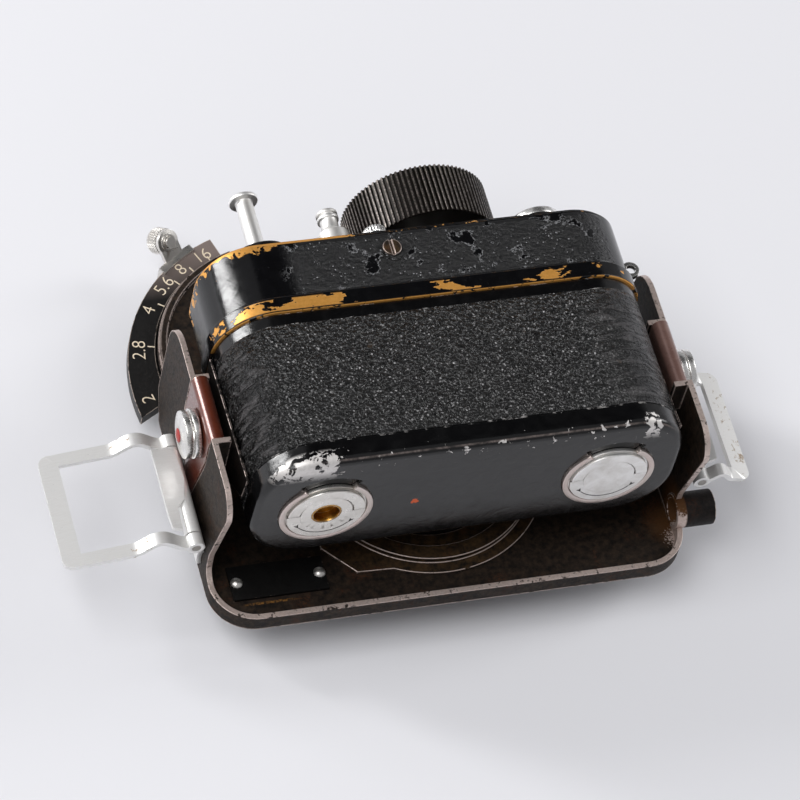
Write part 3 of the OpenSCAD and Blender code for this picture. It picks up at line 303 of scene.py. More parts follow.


# Vulcanised covering with a moulded pebble about 0.8 mm across. It is hard and shiny on the tops
# of the pebbles, whose sparkle is painted in as pale glints, and it is pulled into slanting
# wrinkles round the body's ends, whose crests carry a painted highlight.
def pebbled_vulcanite():
    tree, p = start("pebbled_vulcanite")
    x = node(tree, SPLIT, {0: p}, "X")
    wander = node(tree, NOISE, {"Vector": p, "Scale": 900.0, "Detail": 2.0}, "Color")
    moved = node(tree, VECTOR, {0: wander, 1: (0.0007, 0.0007, 0.0007), 2: p}, operation="MULTIPLY_ADD")
    pebble = node(tree, CELLS, {"Vector": moved, "Scale": 1250.0, "Smoothness": 0.3}, feature="SMOOTH_F1")
    fine = node(tree, CELLS, {"Vector": moved, "Scale": 2300.0})
    # painted glints: scattered pebble tops get a pale colour that stands in for the light they catch
    tips = node(tree, CELLS, {"Vector": moved, "Scale": 1400.0})
    painted_glints = node(tree, RANGE, {"Value": tips, 1: 0.30, 2: 0.16})
    lit = node(tree, NOISE, {"Vector": p, "Scale": 700.0, "Detail": 5.0, "Roughness": 0.8})
    lit = node(tree, RANGE, {"Value": lit, 1: 0.46, 2: 0.62, 3: 0.0, 4: 0.7})
    painted_glints = node(tree, MATH, {0: painted_glints, 1: lit}, operation="MULTIPLY")
    speck = node(tree, NOISE, {"Vector": p, "Scale": 2200.0, "Detail": 6.0, "Roughness": 0.7})
    slant = node(tree, MAPPING, {"Vector": p, "Scale": (1.0, 3.6, 1.0), "Rotation": (0.0, 0.0, 0.55)})
    wrinkle = node(tree, NOISE, {"Vector": slant, "Scale": 250.0, "Detail": 3.0, "Roughness": 0.5,
                                 "Distortion": 0.7})
    right_end = node(tree, RANGE, {"Value": x, 1: 0.024, 2: 0.030})
    left_end = node(tree, RANGE, {"Value": x, 1: -0.031, 2: -0.035})
    ends = node(tree, MATH, {0: right_end, 1: left_end}, operation="MAXIMUM")
    field = node(tree, MATH, {0: fine, 1: 0.55, 2: pebble}, operation="MULTIPLY_ADD")
    folds = node(tree, MATH, {0: wrinkle, 1: 7.0, 2: fine}, operation="MULTIPLY_ADD")
    height = node(tree, MIX, {0: ends, 2: field, 3: folds}, data_type="FLOAT")
    flat_part = node(tree, MATH, {0: 1.0, 1: ends}, operation="SUBTRACT")
    painted_glints = node(tree, MATH, {0: painted_glints, 1: flat_part}, operation="MULTIPLY")
    # painted highlight: the crests of the wrinkles at the ends are coloured paler, as if catching the light
    painted_crest_highlight = node(tree, RANGE, {"Value": wrinkle, 1: 0.52, 2: 0.62, 3: 0.0, 4: 0.35})
    painted_crest_highlight = node(tree, MATH, {0: painted_crest_highlight, 1: ends}, operation="MULTIPLY")
    tops = node(tree, RANGE, {"Value": field, 1: 0.62, 2: 0.3})
    dust = node(tree, RANGE, {"Value": speck, 1: 0.64, 2: 0.74, 3: 0.0, 4: 0.45})
    patch = node(tree, NOISE, {"Vector": p, "Scale": 190.0, "Detail": 5.0, "Roughness": 0.7})
    rust = node(tree, RANGE, {"Value": patch, 1: 0.67, 2: 0.72, 3: 0.0, 4: 0.5})
    black = node(tree, MIX, {0: tops, 6: linear("#050505"), 7: linear("#121212")}, 2, data_type="RGBA")
    gloss = node(tree, RANGE, {"Value": speck, 1: 0.3, 2: 0.7, 3: 0.16, 4: 0.34})
    return surface(tree, black, gloss, 0.0,
                   [(dust, linear("#4d4a4b"), 0.5, None), (rust, linear("#4a3826"), 0.6, None),
                    (painted_glints, linear("#d4d2d3"), 0.4, None), (painted_crest_highlight, linear("#6a6768"), 0.4, None)],
                   [(height, 0.34), (speck, 0.06)], Specular_IOR_Level=0.5)


# Pressed steel, chemically blackened: brown-black and satin, a little rusty in the corners, with
# bare pinkish-white metal all along every rubbed edge.
def blackened_steel(name, tone, light, rust, width, amount):
    tree, p = start(name)
    speck = node(tree, NOISE, {"Vector": p, "Scale": 2500.0, "Detail": 6.0, "Roughness": 0.72})
    cloud = node(tree, NOISE, {"Vector": p, "Scale": 170.0, "Detail": 5.0, "Roughness": 0.6,
                               "Distortion": 0.6})
    rub = rubbed_edges(tree, p, width, 1.3, amount)
    slant = node(tree, MAPPING, {"Vector": p, "Scale": (1.0, 9.0, 2.0), "Rotation": (0.3, 0.2, 0.9)})
    hairs = node(tree, NOISE, {"Vector": slant, "Scale": 330.0, "Detail": 8.0, "Roughness": 0.85})
    scratch = node(tree, RANGE, {"Value": hairs, 1: 0.66, 2: 0.74, 3: 0.0, 4: 0.3})
    mottle = node(tree, NOISE, {"Vector": p, "Scale": 800.0, "Detail": 5.0, "Roughness": 0.7})
    mottle = node(tree, RANGE, {"Value": mottle, 1: 0.36, 2: 0.64})
    base = node(tree, MIX, {0: mottle, 6: linear(tone), 7: linear(light)}, 2, data_type="RGBA")
    damp = node(tree, RANGE, {"Value": cloud, 1: 0.56, 2: 0.68, 3: 0.0, 4: rust})
    spots = node(tree, RANGE, {"Value": speck, 1: 0.45, 2: 0.6})
    brown = node(tree, MATH, {0: damp, 1: spots}, operation="MULTIPLY")
    pale = node(tree, MIX, {0: speck, 6: linear("#a98f84"), 7: linear("#f3e6df")}, 2, data_type="RGBA")
    satin = node(tree, RANGE, {"Value": speck, 1: 0.3, 2: 0.7, 3: 0.46, 4: 0.72})
    # rust round the cable's hole, bare corner beside it and a rusty streak under the number plate
    x, y = node(tree, SPLIT, {0: p}).node.outputs[:2]
    hole = node(tree, VECTOR, {0: p, 1: (0.043, -0.018, 0.0132)}, "Value", operation="DISTANCE")
    hole = node(tree, MATH, {0: speck, 1: -0.004, 2: hole}, operation="MULTIPLY_ADD")
    hole = node(tree, RANGE, {"Value": hole, 1: 0.0048, 2: 0.0012, 3: 0.0, 4: 0.9})
    corner = node(tree, VECTOR, {0: p, 1: (0.0425, -0.0215, 0.0128)}, "Value", operation="DISTANCE")
    corner = node(tree, MATH, {0: speck, 1: -0.005, 2: corner}, operation="MULTIPLY_ADD")
    corner = node(tree, RANGE, {"Value": corner, 1: 0.0008, 2: 0.0002, 3: 0.0, 4: 0.9})
    streak = node(tree, MATH, {0: strip(tree, x, -36.5, -29.0, 2.0), 1: strip(tree, y, -23.9, -23.5, 0.15)},
                  operation="MULTIPLY")
    streak = node(tree, MATH, {0: streak, 1: spots}, operation="MULTIPLY")
    on_bracket = node(tree, RANGE, {"Value": x, 1: 0.0441, 2: 0.0438})
    hole = node(tree, MATH, {0: hole, 1: on_bracket}, operation="MULTIPLY")
    corner = node(tree, MATH, {0: corner, 1: on_bracket}, operation="MULTIPLY")
    return surface(tree, base, satin, 0.15,
                   [(hole, linear("#5a3a1c"), 0.7, 0.1), (streak, linear("#a8763a"), 0.5, 0.4),
                    (corner, pale, 0.4, 0.6), (brown, linear("#54301a"), 0.7, 0.1),
                    (scratch, linear("#6d625c"), None, None), (rub, pale, 0.38, 0.7)],
                   [(speck, 0.03), (mottle, 0.02), (cloud, 0.05)], Specular_IOR_Level=0.22)


# Spring steel under a copper-brown lacquer that has worn thin and lets the metal glow through.
def copper_lacquer(name, tone, light):
    tree, p = start(name)
    speck = node(tree, NOISE, {"Vector": p, "Scale": 2500.0, "Detail": 6.0, "Roughness": 0.7})
    cloud = node(tree, NOISE, {"Vector": p, "Scale": 380.0, "Detail": 4.0, "Roughness": 0.6,
                               "Distortion": 0.5})
    rub = rubbed_edges(tree, p, 0.2, 1.0, 0.6)
    base = node(tree, MIX, {0: cloud, 6: linear(tone), 7: linear(light)}, 2, data_type="RGBA")
    dark = node(tree, RANGE, {"Value": speck, 1: 0.56, 2: 0.7, 3: 0.0, 4: 0.5})
    gloss = node(tree, RANGE, {"Value": speck, 1: 0.3, 2: 0.7, 3: 0.24, 4: 0.42})
    return surface(tree, base, gloss, 0.35,
                   [(dark, linear("#2a1610"), None, None), (rub, linear("#d6b3a2"), 0.35, 0.8)],
                   [(speck, 0.02)], Coat_Weight=0.8, Coat_Roughness=0.14)


# Nickel plating polished bright, dulled by handling and pitted with tiny dark specks.
def nickel(name, tone, grime, smooth, dirt):
    tree, p = start(name)
    speck = node(tree, NOISE, {"Vector": p, "Scale": 2800.0, "Detail": 6.0, "Roughness": 0.75})
    cloud = node(tree, NOISE, {"Vector": p, "Scale": 360.0, "Detail": 4.0, "Roughness": 0.6,
                               "Distortion": 0.4})
    turned = node(tree, MAPPING, {"Vector": p, "Scale": (1.0, 12.0, 1.0)})
    turned = node(tree, NOISE, {"Vector": turned, "Scale": 1250.0, "Detail": 3.0, "Roughness": 0.7})
    pits = node(tree, RANGE, {"Value": speck, 1: 0.66, 2: 0.74, 3: 0.0, 4: dirt})
    haze = node(tree, RANGE, {"Value": cloud, 1: 0.4, 2: 0.72, 3: 0.0, 4: 0.6})
    gloss = node(tree, RANGE, {"Value": turned, 1: 0.3, 2: 0.7, 3: smooth, 4: smooth + 0.16})
    return surface(tree, linear(tone), gloss, 0.92,
                   [(haze, linear("#d2cec8"), smooth + 0.2, None), (pits, linear(grime), 0.55, 0.4)],
                   [(turned, 0.006)])


# Stamped strip, plated white and tumbled to a soft sheen, with drag marks along the bars and
# brown rust breaking through at the bends.
def tumbled_strip():
    tree, p = start("tumbled_plated_strip")
    x = node(tree, SPLIT, {0: p}, "X")
    speck = node(tree, NOISE, {"Vector": p, "Scale": 2000.0, "Detail": 6.0, "Roughness": 0.75})
    along = node(tree, MAPPING, {"Vector": p, "Scale": (1.0, 7.0, 1.0), "Rotation": (0.0, 0.0, 0.3)})
    drag = node(tree, NOISE, {"Vector": along, "Scale": 500.0, "Detail": 6.0, "Roughness": 0.75})
    stain = node(tree, NOISE, {"Vector": p, "Scale": 650.0, "Detail": 6.0, "Roughness": 0.75,
                               "Distortion": 0.7})
    reach = node(tree, MATH, {0: x}, operation="ABSOLUTE")
    bend = strip(tree, reach, 53.5, 57.5, 0.8)
    level = node(tree, MATH, {0: bend, 1: 0.10, 2: stain}, operation="MULTIPLY_ADD")
    rust = node(tree, RANGE, {"Value": level, 1: 0.66, 2: 0.70, 3: 0.0, 4: 0.8})
    base = node(tree, MIX, {0: drag, 6: linear("#fbfbfa"), 7: linear("#e2e0dd")}, 2, data_type="RGBA")
    satin = node(tree, RANGE, {"Value": drag, 1: 0.3, 2: 0.7, 3: 0.26, 4: 0.42})
    return surface(tree, base, satin, 0.45, [(rust, linear("#8a6a3c"), 0.6, 0.1)],
                   [(drag, 0.010), (speck, 0.008)])


# Turned brass, blackened to a dark bronze and burnished on its ridges by years of winding.
def burnished_bronze():
    tree, p = start("burnished_bronze")
    centred = node(tree, MAPPING, {"Vector": p, "Location": (-KNOB_X * MM, 0.0, -Z_MID * MM)})
    flat = node(tree, VECTOR, {0: centred, 1: (1.0, 0.0, 1.0)}, operation="MULTIPLY")
    radius = node(tree, VECTOR, {0: flat}, "Value", operation="LENGTH")
    ridge = node(tree, RANGE, {"Value": radius, 1: (KNOB_R - 0.16) * MM, 2: (KNOB_R - 0.02) * MM})
    speck = node(tree, NOISE, {"Vector": p, "Scale": 2800.0, "Detail": 6.0, "Roughness": 0.72})
    cloud = node(tree, NOISE, {"Vector": p, "Scale": 290.0, "Detail": 4.0, "Roughness": 0.6})
    worn = node(tree, RANGE, {"Value": speck, 1: 0.44, 2: 0.66, 3: 0.05, 4: 0.7})
    worn = node(tree, MATH, {0: worn, 1: ridge}, operation="MULTIPLY")
    nick = node(tree, RANGE, {"Value": cloud, 1: 0.70, 2: 0.74, 3: 0.0, 4: 0.6})
    base = node(tree, MIX, {0: cloud, 6: linear("#0e0a08"), 7: linear("#1f1814")}, 2, data_type="RGBA")
    # the turning marks on the top are drawn every 0.3 mm, coarser than the lathe's own
    rings = node(tree, MATH, {0: radius, 1: 21000.0}, operation="MULTIPLY")
    rings = node(tree, MATH, {0: rings}, operation="SINE")
    satin = node(tree, RANGE, {"Value": speck, 1: 0.3, 2: 0.7, 3: 0.26, 4: 0.42})
    return surface(tree, base, satin, 0.6,
                   [(worn, linear("#a39a93"), 0.3, 0.8), (nick, linear("#a99a8c"), 0.4, None)],
                   [(rings, 0.004), (speck, 0.012)])


# Satin black scale enamel over brass, with the pinkish-grey bloom of age towards its upper end.
def scale_enamel():
    tree, p = start("satin_scale_enamel")
    y = node(tree, SPLIT, {0: p}, "Y")
    speck = node(tree, NOISE, {"Vector": p, "Scale": 2600.0, "Detail": 6.0, "Roughness": 0.7})
    cloud = node(tree, NOISE, {"Vector": p, "Scale": 260.0, "Detail": 4.0, "Roughness": 0.6})
    rub = rubbed_edges(tree, p, 0.28, 1.2, 0.8)
    bloom = node(tree, RANGE, {"Value": y, 1: 0.043, 2: 0.052, 3: 0.0, 4: 0.8})
    dust = node(tree, RANGE, {"Value": speck, 1: 0.66, 2: 0.76, 3: 0.0, 4: 0.5})
    base = node(tree, MIX, {0: cloud, 6: linear("#0c0b0b"), 7: linear("#1a1817")}, 2, data_type="RGBA")
    satin = node(tree, RANGE, {"Value": speck, 1: 0.3, 2: 0.7, 3: 0.32, 4: 0.5})
    return surface(tree, base, satin, 0.0,
                   [(bloom, linear("#8a7c76"), None, None), (dust, linear("#8f857c"), None, None),
                    (rub, linear("#d3c3b6"), 0.4, 0.5)], [(speck, 0.02)])


# Cream paint wiped into engraved figures: matt, slightly uneven and yellowed.
def engraving_fill():
    tree, p = start("cream_engraving_paint")
    cloud = node(tree, NOISE, {"Vector": p, "Scale": 2000.0, "Detail": 4.0, "Roughness": 0.6})
    base = node(tree, MIX, {0: cloud, 6: linear("#f6ead6"), 7: linear("#d3bf9e")}, 2, data_type="RGBA")
    return surface(tree, base, 0.6, 0.0, (), [(cloud, 0.02)])


# Black paint wiped into marks cut in bright metal: matt, lost in places.
# the same black also serves as painted shade: discs over the knob screw's spanner holes and lines over the
# gaps at the lock keys
def mark_and_shade_paint():
    tree, p = start("black_mark_paint")
    cloud = node(tree, NOISE, {"Vector": p, "Scale": 2000.0, "Detail": 4.0, "Roughness": 0.6})
    base = node(tree, MIX, {0: cloud, 6: linear("#141313"), 7: linear("#3a3735")}, 2, data_type="RGBA")
    return surface(tree, base, 0.55, 0.0, (), [(cloud, 0.02)])


# Red signal enamel in the left button's centre, crazed at its rim.
def signal_enamel():
    tree, p = start("red_signal_enamel")
    cloud = node(tree, NOISE, {"Vector": p, "Scale": 2000.0, "Detail": 5.0, "Roughness": 0.65})
    base = node(tree, MIX, {0: cloud, 6: linear("#c2251b"), 7: linear("#7d120e")}, 2, data_type="RGBA")
    lost = node(tree, RANGE, {"Value": cloud, 1: 0.64, 2: 0.70})
    return surface(tree, base, 0.3, 0.0, [(lost, linear("#d9c6c0"), 0.5, None)], [(cloud, 0.02)])


# Plain turned or rolled metal for the works inside, with fine tool marks.
def machined(name, tone, dark, smooth):
    tree, p = start(name)
    lines = node(tree, MAPPING, {"Vector": p, "Scale": (1.0, 14.0, 1.0)})
    lines = node(tree, NOISE, {"Vector": lines, "Scale": 1100.0, "Detail": 4.0, "Roughness": 0.7})
    cloud = node(tree, NOISE, {"Vector": p, "Scale": 330.0, "Detail": 4.0, "Roughness": 0.6})
    base = node(tree, MIX, {0: cloud, 6: linear(tone), 7: linear(dark)}, 2, data_type="RGBA")
    satin = node(tree, RANGE, {"Value": lines, 1: 0.3, 2: 0.7, 3: smooth, 4: smooth + 0.16})
    rub = rubbed_edges(tree, p, 0.15, 0.8, 0.8)
    bright = node(tree, MATH, {0: rub, 1: 0.5}, operation="MULTIPLY")
    return surface(tree, base, satin, 1.0, [(bright, linear("#ffffff"), None, None)], [(lines, 0.006)])


# Matt black lining paint of the light box and cassette, fine-grained like soot.
def lining():
    tree, p = start("matt_lining_paint")
    speck = node(tree, NOISE, {"Vector": p, "Scale": 3300.0, "Detail": 5.0, "Roughness": 0.7})
    base = node(tree, MIX, {0: speck, 6: linear("#0d0d0e"), 7: linear("#222223")}, 2, data_type="RGBA")
    return surface(tree, base, 0.75, 0.0, (), [(speck, 0.03)])


# Coated optical glass: clear, polished, with a blue-violet bloom and faint cleaning marks.
def optical_glass():
    tree, p = start("coated_optical_glass")
    slant = node(tree, MAPPING, {"Vector": p, "Scale": (1.0, 10.0, 1.0), "Rotation": (0.4, 0.2, 0.7)})
    hair = node(tree, NOISE, {"Vector": slant, "Scale": 660.0, "Detail": 6.0, "Roughness": 0.8})
    base = node(tree, MIX, {0: hair, 6: linear("#8fa6d8"), 7: linear("#b9c4e6")}, 2, data_type="RGBA")
    gloss = node(tree, RANGE, {"Value": hair, 1: 0.55, 2: 0.75, 3: 0.02, 4: 0.12})
    return surface(tree, base, gloss, 0.0, (), (), Transmission_Weight=0.85, IOR=1.52)


# Acetate film: glossy, purple-brown, with an even emulsion sheen.
def film_base():
    tree, p = start("acetate_film")
    cloud = node(tree, NOISE, {"Vector": p, "Scale": 250.0, "Detail": 3.0})
    base = node(tree, MIX, {0: cloud, 6: linear("#3c2a2a"), 7: linear("#57403c")}, 2, data_type="RGBA")
    return surface(tree, base, 0.16, 0.0, (), [(cloud, 0.01)])


BRASS_ENAMEL = enamelled_brass()
ALLOY_ENAMEL = enamelled_alloy()
FLANGE = flange_and_washer()
VULCANITE = pebbled_vulcanite()
BLACK_STEEL = blackened_steel("blackened_pressed_steel", "#0e0b0a", "#33281f", 0.6, 0.5, 0.85)
DARK_STEEL = blackened_steel("blackened_turned_steel", "#0b0909", "#211b18", 0.3, 0.22, 0.5)
RUSTY_STEEL = blackened_steel("rust_spotted_steel", "#17110c", "#45331f", 1.0, 0.3, 0.95)
PLATE_BLACK = blackened_steel("black_plate_enamel", "#060505", "#0d0c0b", 0.0, 0.12, 0.1)
COPPER_LEFT = copper_lacquer("copper_lacquer_deep", "#4a1c12", "#7d3b26")
COPPER_RIGHT = copper_lacquer("copper_lacquer_pale", "#6a4a43", "#91746c")
NICKEL = nickel("polished_nickel", "#f4f3f1", "#7d776f", 0.14, 0.4)
WORN_NICKEL = nickel("worn_nickel", "#e9e6e1", "#5c5148", 0.22, 0.8)
SATIN_NICKEL = nickel("satin_nickel", "#f6f5f3", "#8a8278", 0.34, 0.5)
RING_NICKEL = nickel("ring_nickel_rubbed_to_copper", "#d3c4be", "#5f4d43", 0.28, 0.9)
LOOP_STRIP = tumbled_strip()
BRONZE = burnished_bronze()
SCALE = scale_enamel()
CREAM = engraving_fill()
MARKS_AND_SHADE = mark_and_shade_paint()
RED = signal_enamel()
BRASS = machined("machined_brass", "#c79a4b", "#8d6426", 0.24)
STEEL = machined("turned_steel", "#b7b4ae", "#7f7b75", 0.26)
BLUED = machined("blued_spring_steel", "#4a5670", "#2e3444", 0.2)
LINING = lining()
GLASS = optical_glass()
FILM = film_base()

DRESSED = (
    (BLACK_STEEL, "mount_bracket"), (RUSTY_STEEL, "lens_board cover_screws"), (PLATE_BLACK, "number_plate"),
    (DARK_STEEL, "cable_tube front_collar left_guide right_guide latch_rivets lens_barrel"),
    (STEEL, "rest_posts loop_pins sector_stud gear_plate pressure_plate shutter_plate diaphragm_ring"),
    (STEEL, "takeup_spool"),
    (LOOP_STRIP, "left_loop_hinge right_loop_hinge left_strap_loop right_strap_loop"),
    (COPPER_LEFT, "left_latch_leaf"), (COPPER_RIGHT, "right_latch_leaf"), (SCALE, "aperture_sector"),
    (NICKEL, "left_latch_button right_latch_button strap_eyelet knob_bush counter_disc speed_dial"),
    (WORN_NICKEL, "plate_rivets cable_lug clamp_wheel left_lock_disc left_lock_key"),
    (SATIN_NICKEL, "cable_post release_rod right_lock_disc right_lock_key"), (RING_NICKEL, "lock_rings"),
    (BRASS, "sector_gear coupling_ring spring_barrel"), (BLUED, "shutter_blade mainspring"),
    (ALLOY_ENAMEL, "body_shell bottom_lid"), (BRASS_ENAMEL, "top_cover"), (VULCANITE, "leather_wrap"),
    (FLANGE, "release_bush"), (BRONZE, "winding_knob"), (LINING, "film_chamber film_cassette"),
    (FILM, "film_strip"), (GLASS, "front_lens rear_lens"))
LOOKS = {name: material for material, names in DRESSED for name in names.split()}
for name, material in LOOKS.items():
    mesh = frame["nodes"][name].data
    mesh.materials.clear()
    mesh.materials.append(material)

BODY_OF = {n: body for body, members in frame["record"]["behaviour"]["bodies"].items() for n in members}


def keep(name, mesh, material, body):
    """Puts a finished mesh into the scene as a piece that rides on its body."""
    piece = bpy.data.objects.new(name, mesh)
    bpy.context.collection.objects.link(piece)
    mesh.materials.clear()
    mesh.materials.append(material)
    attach(piece, body)
    return piece


# rounds narrower than this, in millimetres, are rubbed bare
WORN_ROUND = 0.45


def eased(name, ease, rules=(), steps=2, worn_face=None):
    """Replaces a CAD node with a copy whose edges are rounded as a real piece's are.

    Each rule is a width in millimetres and a test of an edge's two ends, for the large rounds.
    The last test picks faces that are rubbed bare from side to side."""
    source = frame["nodes"][name]
    work = bmesh.new()
    work.from_mesh(source.data)
    bmesh.ops.remove_doubles(work, verts=work.verts, dist=0.000002)
    bmesh.ops.dissolve_limit(work, angle_limit=math.radians(0.6), verts=work.verts, edges=work.edges)
    rubbed = work.faces.layers.float.new("rubbed")
    for face in work.faces:
        if worn_face and worn_face(face.normal, face.calc_center_median() / MM):
            face[rubbed] = 1.0
    for width, test in rules:
        rims = [e for e in work.edges if len(e.link_faces) == 2 and e.calc_face_angle(0) > math.radians(40)
                and test(e.verts[0].co / MM) and test(e.verts[1].co / MM)]
        made = bmesh.ops.bevel(work, geom=rims, offset=width * MM, offset_type="OFFSET", segments=6,
                               profile=0.5, affect="EDGES", clamp_overlap=True)
        for face in made["faces"]:
            face[rubbed] = 1.0 if width < WORN_ROUND else 0.0
    sharp = [e for e in work.edges if len(e.link_faces) == 2 and e.calc_face_angle(0) > math.radians(32)]
    made = bmesh.ops.bevel(work, geom=sharp, offset=ease * MM, offset_type="OFFSET", segments=steps,
                           profile=0.5, affect="EDGES", clamp_overlap=True)
    for face in made["faces"]:
        face[rubbed] = 1.0
    bmesh.ops.triangulate(work, faces=[f for f in work.faces if len(f.verts) > 4])
    mesh = bpy.data.meshes.new(name + "_eased")
    work.to_mesh(mesh)
    work.free()
    mesh.shade_smooth()
    mesh.set_sharp_from_angle(angle=math.radians(34))
    piece = keep(name + "_finished", mesh, LOOKS[name], BODY_OF[name])
    weigh = piece.modifiers.new("even_shading", "WEIGHTED_NORMAL")
    weigh.keep_sharp = True
    weigh.weight = 100
    settled = bpy.data.meshes.new_from_object(piece.evaluated_get(bpy.context.evaluated_depsgraph_get()))
    piece.modifiers.clear()
    piece.data = settled
    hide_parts(name)


def outer_rim(low, high):
    """Tests for a place on the body's outer outline between two heights."""
    def test(c):
        if not low <= c.y <= high:
            return False
        dx = max(abs(c.x) - (BODY_W / 2 - CORNER_R), 0)
        dz = max(abs(c.z - Z_MID) - (BODY_D / 2 - CORNER_R), 0)
        return math.hypot(dx, dz) > CORNER_R - 0.7
    return test


# the bracket's walls and lip are taken to begin at this height, above the bend
ABOVE_BEND = PAN_TOP + 1.5


def free_edge(c):
    """Tests for a place on the walls and the lip of the bracket, above the pan's floor."""
    return c.z > ABOVE_BEND


def sheet_edge(normal, centre):
    """Tests for the cut edge of the bracket's sheet, on its walls and along its lip."""
    on_wall = abs(centre.x) > WALL_X - 1.1
    return abs(normal.x) < 0.3 and centre.z > ABOVE_BEND and (on_wall or normal.z > 0.9)


eased("top_cover", 0.12, [(1.0, outer_rim(Y_TOP - 0.7, Y_TOP + 0.1)),
                          (0.5, outer_rim(Y_COVER - 0.1, Y_COVER + 3.4))])
eased("bottom_lid", 0.12, [(1.5, outer_rim(Y_BOTTOM - 0.1, Y_BOTTOM + 0.1))])
eased("body_shell", 0.1)
eased("mount_bracket", 0.2, [(0.4, free_edge)], worn_face=sheet_edge)
EASED = (
    (0.3, "left_strap_loop right_strap_loop aperture_sector"),
    (0.2, "left_loop_hinge right_loop_hinge left_latch_button right_latch_button cable_lug"),
    (0.15, "release_rod cable_post lens_board cable_tube left_lock_disc right_lock_disc left_lock_key "
           "right_lock_key"),
    (0.12, "lock_rings left_latch_leaf right_latch_leaf release_bush knob_bush counter_disc number_plate "
           "plate_rivets"),
    (0.1, "cover_screws strap_eyelet left_guide right_guide speed_dial"))
for ease, names in EASED:
    for name in names.split():
        eased(name, ease)
eased("winding_knob", 0.07, steps=1)


def moved(mesh, *matrices):
    """The mesh with matrices applied, the last one first."""
    for matrix in reversed(matrices):
        mesh.transform(matrix)
    return mesh


def at(x, y, z=0.0):
    """A shift given in millimetres."""
    return Matrix.Translation((x * MM, y * MM, z * MM))


def joined(meshes):
    work = bmesh.new()
    for mesh in meshes:
        work.from_mesh(mesh)
    bmesh.ops.recalc_face_normals(work, faces=work.faces)
    whole = bpy.data.meshes.new("joined")
    work.to_mesh(whole)
    work.free()
    return whole


def figure(words, size):
    """Plain sans figures, thin as an engraver's cutter leaves them."""
    curve = bpy.data.curves.new("figure", "FONT")
    curve.body = words
    curve.size = size * MM
    curve.align_x = "CENTER"
    curve.align_y = "CENTER"
    curve.offset = -0.04 * MM
    curve.extrude = 0.02 * MM
    holder = bpy.data.objects.new("figure", curve)
    bpy.context.collection.objects.link(holder)
    mesh = bpy.data.meshes.new_from_object(holder.evaluated_get(bpy.context.evaluated_depsgraph_get()))
    bpy.data.objects.remove(holder)
    return mesh


def slab(width, length, height):
    work = bmesh.new()
    bmesh.ops.create_cube(work, size=1.0, matrix=Matrix.Diagonal((width * MM, length * MM, height * MM, 1)))
    mesh = bpy.data.meshes.new("slab")
    work.to_mesh(mesh)
    work.free()
    return mesh


def prism(outline, height):
    """A flat plate with the given outline in millimetres, raised from the plane z = 0."""
    work = bmesh.new()
    low = [work.verts.new((x * MM, y * MM, 0)) for x, y in outline]
    high = [work.verts.new((x * MM, y * MM, height * MM)) for x, y in outline]
    work.faces.new(low[::-1])
    work.faces.new(high)
    for i in range(len(outline)):
        j = (i + 1) % len(outline)
        work.faces.new((low[i], low[j], high[j], high[i]))
    mesh = bpy.data.meshes.new("prism")
    work.to_mesh(mesh)
    work.free()
    return mesh


def turned_piece(profile, sides=64):
    """A solid turned round Z from pairs of radius and height in millimetres, closed at both ends."""
    work = bmesh.new()
    way = [k * math.tau / sides for k in range(sides)]
    rings = [[work.verts.new((r * MM * math.cos(a), r * MM * math.sin(a), h * MM)) for a in way]
             for r, h in profile]
    for a, b in zip(rings, rings[1:]):
        for i in range(sides):
            j = (i + 1) % sides
            work.faces.new((a[i], a[j], b[j], b[i]))
    work.faces.new(rings[0][::-1])
    work.faces.new(rings[-1])
    bmesh.ops.recalc_face_normals(work, faces=work.faces)
    mesh = bpy.data.meshes.new("turned")
    work.to_mesh(mesh)
    work.free()
    mesh.shade_smooth()
    mesh.set_sharp_from_angle(angle=math.radians(40))
    return mesh


# Figures and marks on the aperture scale: plain numbers on a dial, each with its radius,
# its direction and the direction of its mark
FIGURE_SIZE = 3.5
FIGURES = (("2", 28.0, 191.0, 190.0), ("2.8", 27.3, 169.0, 167.0), ("4", 26.8, 149.6, 145.2),
           ("5.6", 26.6, 136.0, 131.5), ("8", 26.5, 125.2, 122.0), ("16", 26.4, 114.0, 112.5))


def on_band(angle, radius, height):
    a = math.radians(angle)
    spot = at(PIVOT[0] + radius * math.cos(a), PIVOT[1] + radius * math.sin(a), height)
    return spot @ Matrix.Rotation(a - math.pi / 2, 4, "Z")


figures = [moved(figure(words, FIGURE_SIZE), on_band(angle, radius, BAND_TOP + 0.01))
           for words, radius, angle, _ in FIGURES]
marks = [moved(slab(0.26, 1.3, 0.05), on_band(row[3], BAND_IN + 0.7, BAND_TOP)) for row in FIGURES]
keep("scale_figures", joined(figures + marks), CREAM, "sector")

# Slightly coned caps on the two latch buttons, the left one with a red dot
CAP = ((4.0, -0.2), (4.0, 0.02), (3.8, 0.12), (2.4, 0.42), (1.5, 0.55), (1.3, 0.5), (0.1, 0.5))
DOT = ((1.25, 0.45), (1.25, 0.6), (1.0, 0.72), (0.1, 0.76))
for side, body in ((-1, "left_latch"), (1, "right_latch")):
    outwards = Matrix.Rotation(side * math.pi / 2, 4, "Y")
    at_face = at(side * BUTTON_FACE, BUTTON_Y, BUTTON_Z)
    keep(body + "_cap", moved(turned_piece(CAP), at_face, outwards), NICKEL, body)
    if side < 0:
        keep("button_dot", moved(turned_piece(DOT, 40), at_face, outwards), RED, body)

# Marks on the lock discs: two arrow heads on an arc with ticks between them, dark lines over the gaps at
# the two ends of the key that are painted shade and grime, and the brass lining of the left lock's hole.
# A disc's outer face looks along -Y, so its own plane is turned over onto it.
ARC_R, SLOT_R = 5.7, 5.95
ARROW = ((0.0, 0.75), (0.42, -0.35), (0.0, -0.1), (-0.42, -0.35))
TO_BOTTOM = Matrix.Rotation(math.pi / 2, 4, "X")
TO_TOP = Matrix.Rotation(-math.pi / 2, 4, "X")


